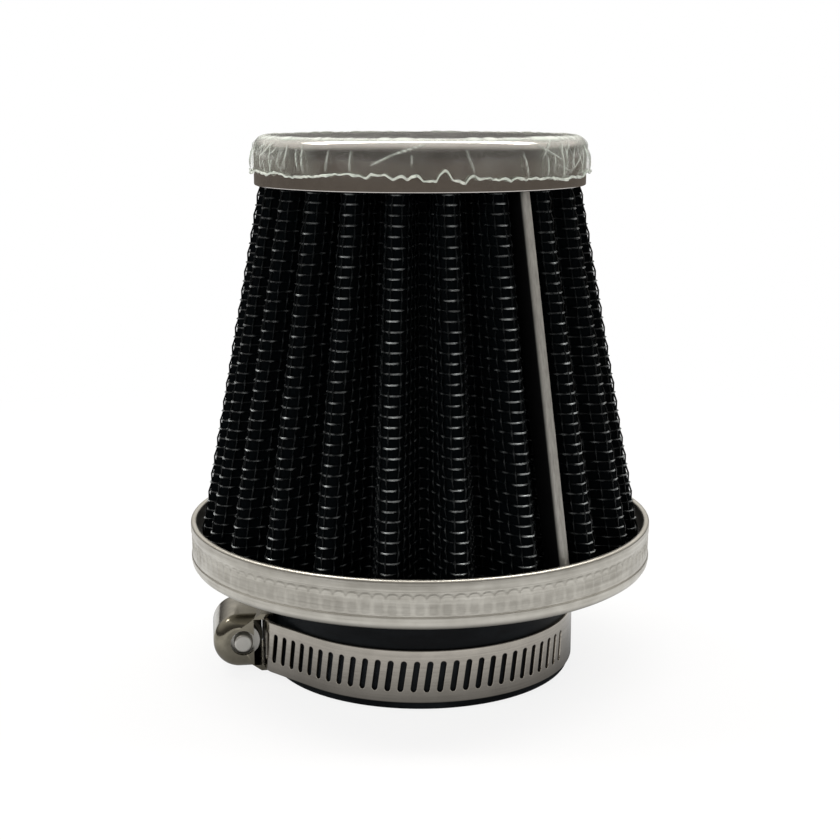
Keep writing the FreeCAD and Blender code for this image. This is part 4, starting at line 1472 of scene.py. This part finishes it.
@dataclass
class HoseClamp:
    """The worm clamp round the neck: slotted band, housing, and screw with its thread."""

    bearing: float = -82.0
    neck: float = NECK_RADIUS
    inner_layer: float = 29.9
    outer_layer: float = 30.62
    sheet: float = 0.6
    band_width: float = 10.0
    band_edge: float = 0.16
    edge_bulge: float = 0.3
    band_flat: float = 4.78
    bend: float = 4.0
    flat_half: float = 8.05
    start_back: float = 0.3
    tail: float = 9.0
    slot_pitch: float = 2.385
    slot_length: float = 5.8
    slot_width: float = 1.0
    slot_slant: float = 8.0
    slot_span: float = 144.6
    slot_rim: tuple[Span, ...] = ((0.17, 0.0), (0.14, 0.0), (0.05, 0.03), (0.0, 0.12))
    side_points: int = 9
    arc_points: int = 7
    plain_step: float = 1.1
    screw_radius: float = 35.32
    screw_height: float = 6.6
    thread_root: float = 3.1
    thread_crest: float = 3.85
    thread_half: float = 6.0
    crest_share: float = 0.3
    root_share: float = 0.68
    steps_per_turn: int = 40
    housing_ease: float = 0.12
    screw_ease: float = 0.18
    sharp: float = 40.0

    def lift_off(self, layer: float) -> float:
        """The angle at which the band leaves the neck for a layer in the housing."""
        reach = math.hypot(layer - self.bend, self.flat_half)
        return math.atan2(self.flat_half, layer - self.bend) + math.acos((self.neck - self.bend) / reach)

    def runs(self) -> list[Span]:
        """The band's path, from its start in the housing, once round the neck and out as the tail.

        Returns:
            Length of each run and the angle that it turns by.
        """
        middle = self.sheet / 2.0
        back, front = self.lift_off(self.inner_layer), self.lift_off(self.outer_layer)
        leave, arrive = (
            math.sqrt((layer - self.bend) ** 2 + self.flat_half ** 2 - (self.neck - self.bend) ** 2)
            for layer in (self.inner_layer, self.outer_layer)
        )
        around = 2.0 * math.pi - back - front
        tail_bend = self.bend + self.outer_layer - self.inner_layer
        return [
            (2.0 * self.flat_half - self.start_back, 0.0),
            ((self.bend + middle) * back, back),
            (leave, 0.0),
            ((self.neck + middle) * around, around),
            (arrive, 0.0),
            ((self.bend + middle) * front, front),
            (2.0 * self.flat_half, 0.0),
            ((tail_bend + middle) * back, back),
            (self.tail, 0.0),
        ]

    def bent(self, flat: np.ndarray) -> np.ndarray:
        """Bend points of the flat strip round the path.

        Args:
            flat: Way along the strip, way up from its middle, and way out from its inner face.

        Returns:
            Points in the shared frame.
        """
        places = flat[:, 0]
        here = np.array([self.inner_layer + self.sheet / 2.0, self.flat_half - self.start_back])
        heading = -math.pi / 2.0
        plan = np.zeros((len(flat), 2))
        outward = np.zeros((len(flat), 2))
        begin = 0.0
        for length, turn in self.runs():
            chosen = places >= begin - 1e-9
            way = np.append(places[chosen] - begin, length)
            angle = heading - turn * way / length
            out = np.column_stack([-np.sin(angle), np.cos(angle)])
            if turn > 0.0:
                radius = length / turn
                spots = here + radius * (out - np.array([-math.sin(heading), math.cos(heading)]))
            else:
                spots = here + way[:, None] * np.array([math.cos(heading), math.sin(heading)])
            plan[chosen], outward[chosen] = spots[:-1], out[:-1]
            here, heading, begin = spots[-1], float(angle[-1]), begin + length
        plan = plan + outward * (flat[:, 2] - self.sheet / 2.0)[:, None]
        level = plan[:, :1] * radial(self.bearing) + plan[:, 1:] * radial(self.bearing + 90.0)
        return np.column_stack([level, self.screw_height + flat[:, 1]])

    def loop(self, aside: float, half: float, end: np.ndarray) -> np.ndarray:
        """A closed outline from one straight side and one end, each mirrored through the middle."""
        up = np.linspace(-half, half, self.side_points)
        side = np.column_stack([np.full(self.side_points, aside), up])
        return np.vstack([side, end, -side, -end])

    def slot_ring(self, grow: float, out: float) -> np.ndarray:
        """A slot's outline about its middle, on the flat strip.

        Args:
            grow: How far the outline lies outside the slot.
            out: Its way out from the strip's inner face.

        Returns:
            Points: one side, one end, the other side, the other end.
        """
        half = (self.slot_length - self.slot_width) / 2.0
        radius = self.slot_width / 2.0 + grow
        arc = np.linspace(0.0, math.pi, self.arc_points + 2)[1:-1]
        ring = self.loop(radius, half, np.column_stack([radius * np.cos(arc), half + radius * np.sin(arc)]))
        slant = math.radians(self.slot_slant)
        along = ring[:, 0] * math.cos(slant) - ring[:, 1] * math.sin(slant)
        up = ring[:, 0] * math.sin(slant) + ring[:, 1] * math.cos(slant)
        return np.column_stack([along, up, np.full(len(ring), out)])

    def cell_ring(self, out: float) -> np.ndarray:
        """The outline of one slot's share of the strip, in step with the slot's outline."""
        along, up = self.slot_pitch / 2.0, self.band_flat
        across = np.linspace(along, -along, self.arc_points + 2)[1:-1]
        ring = self.loop(along, up, np.column_stack([across, np.full(self.arc_points, up)]))
        return np.column_stack([ring, np.full(len(ring), out)])

    def band_shape(self) -> Shape:
        """The slotted band, with eased edges and slot rims.

        Returns:
            Points and faces; edges that meet have their own points.
        """
        top, edge = self.sheet, self.band_edge
        lengths = [length for length, _ in self.runs()]
        opened = math.radians(self.slot_span) - self.lift_off(self.outer_layer)
        # The first four runs end where the band leaves the neck for the housing again.
        first = sum(lengths[:4]) - opened * (self.neck + self.sheet / 2.0)
        count = math.ceil((sum(lengths) - self.slot_pitch - first) / self.slot_pitch)
        slots = first + np.arange(count) * self.slot_pitch
        grids: list[np.ndarray] = []
        rim = [self.slot_ring(grow, top - sink) for grow, sink in self.slot_rim]
        rings = [self.cell_ring(top), *rim, self.slot_ring(0.0, 0.0), self.cell_ring(0.0)]
        closed = [np.vstack([ring, ring[:1]]) for ring in rings]
        grids.extend(np.array(closed) + np.array([slot, 0.0, 0.0]) for slot in slots)
        fine = np.linspace(-0.5, 0.5, self.arc_points + 2) * self.slot_pitch
        rest = ((0.0, slots[0] - self.slot_pitch / 2.0), (slots[-1] + self.slot_pitch / 2.0, sum(lengths)))
        plain = [
            np.linspace(start, end, math.ceil((end - start) / self.plain_step) + 1)
            for start, end in rest
        ]
        half = self.band_width / 2.0
        bulge = self.edge_bulge * edge
        rows = np.linspace(-self.band_flat, self.band_flat, self.side_points)
        for places in plain:
            for out in (top, 0.0):
                grids.append(np.array([[(place, row, out) for row in rows] for place in places]))
        every = np.unique(np.concatenate([*plain, *(slot + fine for slot in slots)]).round(6))
        for side in (-1.0, 1.0):
            lip = [(self.band_flat, top), (half - edge, top), (half - bulge, top - bulge),
                   (half, top - edge), (half, 0.0), (self.band_flat, 0.0)]
            grids.append(np.array([[(place, side * up, out) for up, out in lip] for place in every]))
        for place in (0.0, sum(lengths)):
            outline = [(half - edge, top), (half, top - edge), (half, 0.0), (self.band_flat, 0.0)]
            grids.append(np.array([
                [(place, side * up, out) for up, out in outline] for side in (-1.0, 1.0)]))
        points: list[np.ndarray] = []
        faces: list[tuple[int, ...]] = []
        begin = 0
        for grid in grids:
            tall, wide, _ = grid.shape
            index = begin + np.arange(tall * wide).reshape(tall, wide)
            faces.extend(quads(index[:-1, :-1], index[1:, :-1], index[1:, 1:], index[:-1, 1:]))
            points.append(grid.reshape(-1, 3))
            begin += tall * wide
        return self.bent(np.vstack(points)), faces

    def thread_shape(self) -> Shape:
        """The worm's thread, one ridge wound along the shank.

        Returns:
            Points and faces.
        """
        out = np.append(radial(self.bearing), 0.0)
        ahead = np.append(radial(self.bearing + 90.0), 0.0)
        up = np.array([0.0, 0.0, 1.0])
        centre = out * self.screw_radius + up * self.screw_height
        crest = self.crest_share * self.slot_pitch / 2.0
        root = self.root_share * self.slot_pitch / 2.0
        section = [(self.thread_root, -root), (self.thread_crest, -crest),
                   (self.thread_crest, crest), (self.thread_root, root)]
        run = 2.0 * (self.thread_half - root)
        count = int(run / self.slot_pitch * self.steps_per_turn)
        points: list[np.ndarray] = []
        for step in range(count + 1):
            angle = 2.0 * math.pi * step / self.steps_per_turn
            spoke = out * math.cos(angle) + up * math.sin(angle)
            middle = centre + ahead * (run * (step / count - 0.5))
            points.extend(middle + spoke * radius + ahead * aside for radius, aside in section)
        index = np.arange(len(points)).reshape(-1, len(section))
        beside = np.roll(index, -1, axis=1)
        faces = quads(index[:-1], index[1:], beside[1:], beside[:-1])
        faces.extend(tuple(end.tolist()) for end in (index[0], index[-1, ::-1]))
        return np.array(points), faces

    def dress(self) -> None:
        """Build the band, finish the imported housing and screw, and wind the thread."""
        band = new_piece("slotted_band", self.band_shape(), BAND_STEEL, self.sharp, True)
        settle(band, BAND_STEEL, Body.FILTER, "clamp_band")
        dress_node("clamp_housing", SHADED_HOUSING_STEEL, self.housing_ease)
        dress_node("clamp_screw", SCREW_STEEL, self.screw_ease)
        thread = new_piece("worm_thread", self.thread_shape(), SCREW_STEEL, self.sharp)
        settle(thread, SCREW_STEEL, Body.WORM_SCREW)


@dataclass(frozen=True)
class SoftBox:
    """One studio lamp that looks at the filter."""

    place: tuple[float, float, float]
    size: Span
    power: float
    mirrored: bool = True
    colour: Colour = (1.0, 0.97, 0.93)

    def hang(self, name: str, aim: tuple[float, float, float]) -> None:
        """Put the lamp up.

        Args:
            name: The lamp's name.
            aim: The point that it looks at, in metres.
        """
        data = bpy.data.lights.new(name, "AREA")
        data.shape = "RECTANGLE"
        data.size, data.size_y = self.size
        data.energy = self.power
        data.color = self.colour
        lamp = linked(name, data)
        away = np.array(self.place) - np.array(aim)
        level = math.hypot(away[0], away[1])
        lamp.location = self.place
        lamp.visible_camera = False
        lamp.visible_glossy = self.mirrored
        lamp.rotation_euler = (math.atan2(level, away[2]), 0.0, math.atan2(away[0], -away[1]))


@dataclass
class Studio:
    """Camera, lamps, pale floor and white surroundings."""

    camera_place: tuple[float, float, float] = (0.0, -0.2893, 0.109)
    camera_tilt: float = 78.05
    lens: float = 65.126
    sensor: float = 36.0
    nearest: float = 0.01
    aim: tuple[float, float, float] = (0.0, 0.0, 0.055)
    floor_half: float = 4.0
    floor_drop: float = 0.0002
    shadow_share: float = 0.15
    shadow_reach: Span = (0.07, 0.30)
    foot_shadow_share: float = 0.82
    foot_shadow_reach: Span = (0.031, 0.062)
    floor_grain: float = 600.0
    floor_shades: tuple[Colour, Colour] = ((0.88, 0.88, 0.88), (0.92, 0.92, 0.92))
    floor_gloss: float = 0.9
    floor_shine: float = 0.1
    ambient: float = 0.35
    ambient_colour: Colour = (1.0, 0.99, 0.97)
    bright_lean: Span = (0.75, 0.45)
    lean_range: tuple[float, ...] = (-0.1, 0.7, 0.1, 1.0)
    rise_range: Span = (0.02, 0.3)
    table_near: float = 0.26
    table_far: float = 3.9
    table_faces: Span = (0.6, 0.4)
    table_grain: float = 2.2
    table_dip: float = 0.72
    table_segments: int = 96
    dim: Colour = (0.17, 0.15, 0.13)
    horizon: Colour = (0.085, 0.08, 0.075)
    bright: Colour = (1.0, 0.975, 0.93)
    lamps: tuple[SoftBox, ...] = (
        SoftBox((0.0, 0.16, 0.86), (1.60, 0.26), 10.5),
        SoftBox((-0.45, -0.70, 0.55), (0.60, 0.45), 3.2, False),
    )

    def rays(self, board: NodeBoard) -> tuple[Socket, Socket]:
        """Masks for the rays that a surface or the surroundings are seen by.

        Args:
            board: The nodes to add to.

        Returns:
            One for rays that show it directly or through clear film, and one for mirrored rays.
        """
        path = board.add("ShaderNodeLightPath")
        direct = board.sum("MAXIMUM", path.outputs["Is Camera Ray"], path.outputs["Is Transmission Ray"])
        return direct, path.outputs["Is Glossy Ray"]

    def build_world(self) -> None:
        """White to the eye, softer as light; in mirrors dim at the horizon and bright above and behind."""
        world = bpy.data.worlds.new("white_room")
        bpy.context.scene.world = world
        board = NodeBoard("white_room", world)
        soft = board.find("BACKGROUND")
        soft.inputs["Color"].default_value = (*self.ambient_colour, 1.0)
        soft.inputs["Strength"].default_value = self.ambient
        parts = board.add("ShaderNodeSeparateXYZ")
        board.feed(parts.inputs[0], board.place)
        up, back = parts.outputs["Z"], parts.outputs["Y"]
        by_height, by_depth = self.bright_lean
        lean = board.sum("ADD", board.sum("MULTIPLY", up, by_height), board.sum("MULTIPLY", back, by_depth))
        level = board.sum("MULTIPLY", board.span(up, *self.rise_range), board.span(lean, *self.lean_range))
        room = board.add("ShaderNodeBackground")
        board.feed(room.inputs["Color"], board.blend(level, self.horizon, self.bright))
        white = board.add("ShaderNodeBackground")
        white.inputs["Color"].default_value = (1.0, 1.0, 1.0, 1.0)
        direct, mirrored = self.rays(board)
        shown = soft.outputs[0]
        for mask, over in ((mirrored, room), (direct, white)):
            shown = board.layer(mask, shown, over.outputs[0])
        board.feed(board.find("OUTPUT_WORLD").inputs["Surface"], shown)

    def build_floor(self) -> None:
        """The pale floor, which keeps part of the shadow; in mirrors it shows a painted shadow round the
        foot.
        """
        half = self.floor_half / MM
        drop = -self.floor_drop / MM
        around = ((-half, -half), (half, -half), (half, half), (-half, half))
        corners = np.array([(*corner, drop) for corner in around])
        board = NodeBoard("pale_floor")
        grain = board.noise(board.place, self.floor_grain)
        board.set(
            Base_Color=board.blend(grain, *self.floor_shades),
            Roughness=self.floor_gloss,
            Specular_IOR_Level=self.floor_shine,
        )
        glow = board.add("ShaderNodeEmission")
        glow.inputs["Color"].default_value = (1.0, 1.0, 1.0, 1.0)
        apart = board.add("ShaderNodeVectorMath", operation="LENGTH")
        board.feed(apart.inputs[0], board.place)
        direct, mirrored = self.rays(board)
        seen = board.span(apart.outputs["Value"], *self.shadow_reach, 1.0 - self.shadow_share, 1.0)
        # Painted shadow: in mirrors the floor darkens towards the foot.
        mirrored_glow = board.span(apart.outputs["Value"], *self.foot_shadow_reach, 1.0 - self.foot_shadow_share, 1.0)
        share = board.sum("ADD", board.sum("MULTIPLY", direct, seen), mirrored)
        strength = board.sum("ADD", direct, board.sum("MULTIPLY", mirrored, mirrored_glow))
        board.feed(glow.inputs["Strength"], strength)
        shown = board.layer(share, board.shader.outputs[0], glow.outputs[0])
        board.feed(board.find("OUTPUT_MATERIAL").inputs["Surface"], shown)
        self.put("floor", (corners, [(0, 1, 2, 3)]), board.material)

    def build_table(self) -> None:
        """A dim table round the pale floor, which only shiny surfaces show."""
        near, far = self.table_near / MM, self.table_far / MM
        top, under = self.table_faces
        profile = np.array([(near, top), (far, top), (far, under), (near, under)])
        board = NodeBoard("dim_table")
        grain = board.noise(board.place, self.table_grain)
        darker = tuple(self.table_dip * value for value in self.dim)
        glow = board.add("ShaderNodeEmission")
        board.feed(glow.inputs["Color"], board.blend(grain, self.dim, darker))
        board.feed(board.find("OUTPUT_MATERIAL").inputs["Surface"], glow.outputs[0])
        table = self.put("dim_table", lathe(profile, self.table_segments), board.material)
        table.visible_camera = table.visible_diffuse = False
        table.visible_shadow = table.visible_transmission = False

    def put(self, name: str, shape: Shape, material: bpy.types.Material) -> bpy.types.Object:
        """Set a piece of the studio in place.

        Args:
            name: Its name.
            shape: Points in millimetres, and faces.
            material: Its material.

        Returns:
            The object.
        """
        mesh = mesh_of(name, shape)
        mesh.materials.append(material)
        piece = linked(name, mesh)
        return piece

    def build_camera(self) -> None:
        """The camera at the photograph's place."""
        data = bpy.data.cameras.new("camera")
        data.lens = self.lens
        data.sensor_width = self.sensor
        data.clip_start = self.nearest
        camera = linked("camera", data)
        camera.location = self.camera_place
        camera.rotation_euler = (math.radians(self.camera_tilt), 0.0, 0.0)
        bpy.context.scene.camera = camera

    def build(self) -> None:
        """Set up everything round the filter."""
        bpy.context.scene.view_settings.view_transform = "Standard"
        self.build_camera()
        self.build_world()
        self.build_floor()
        self.build_table()
        for order, lamp in enumerate(self.lamps, start=1):
            lamp.hang(f"soft_box_{order}", self.aim)


def main() -> None:
    """Build the studio and every sub-assembly."""
    logging.basicConfig(level=logging.INFO, format="%(name)s: %(message)s")
    Studio().build()
    for assembly in (NeckAndRing(), PleatPack(), CapAndFilm(), HoseClamp()):
        LOG.info("building %s", type(assembly).__name__)
        assembly.dress()


if __name__ == "__main__":
    main()
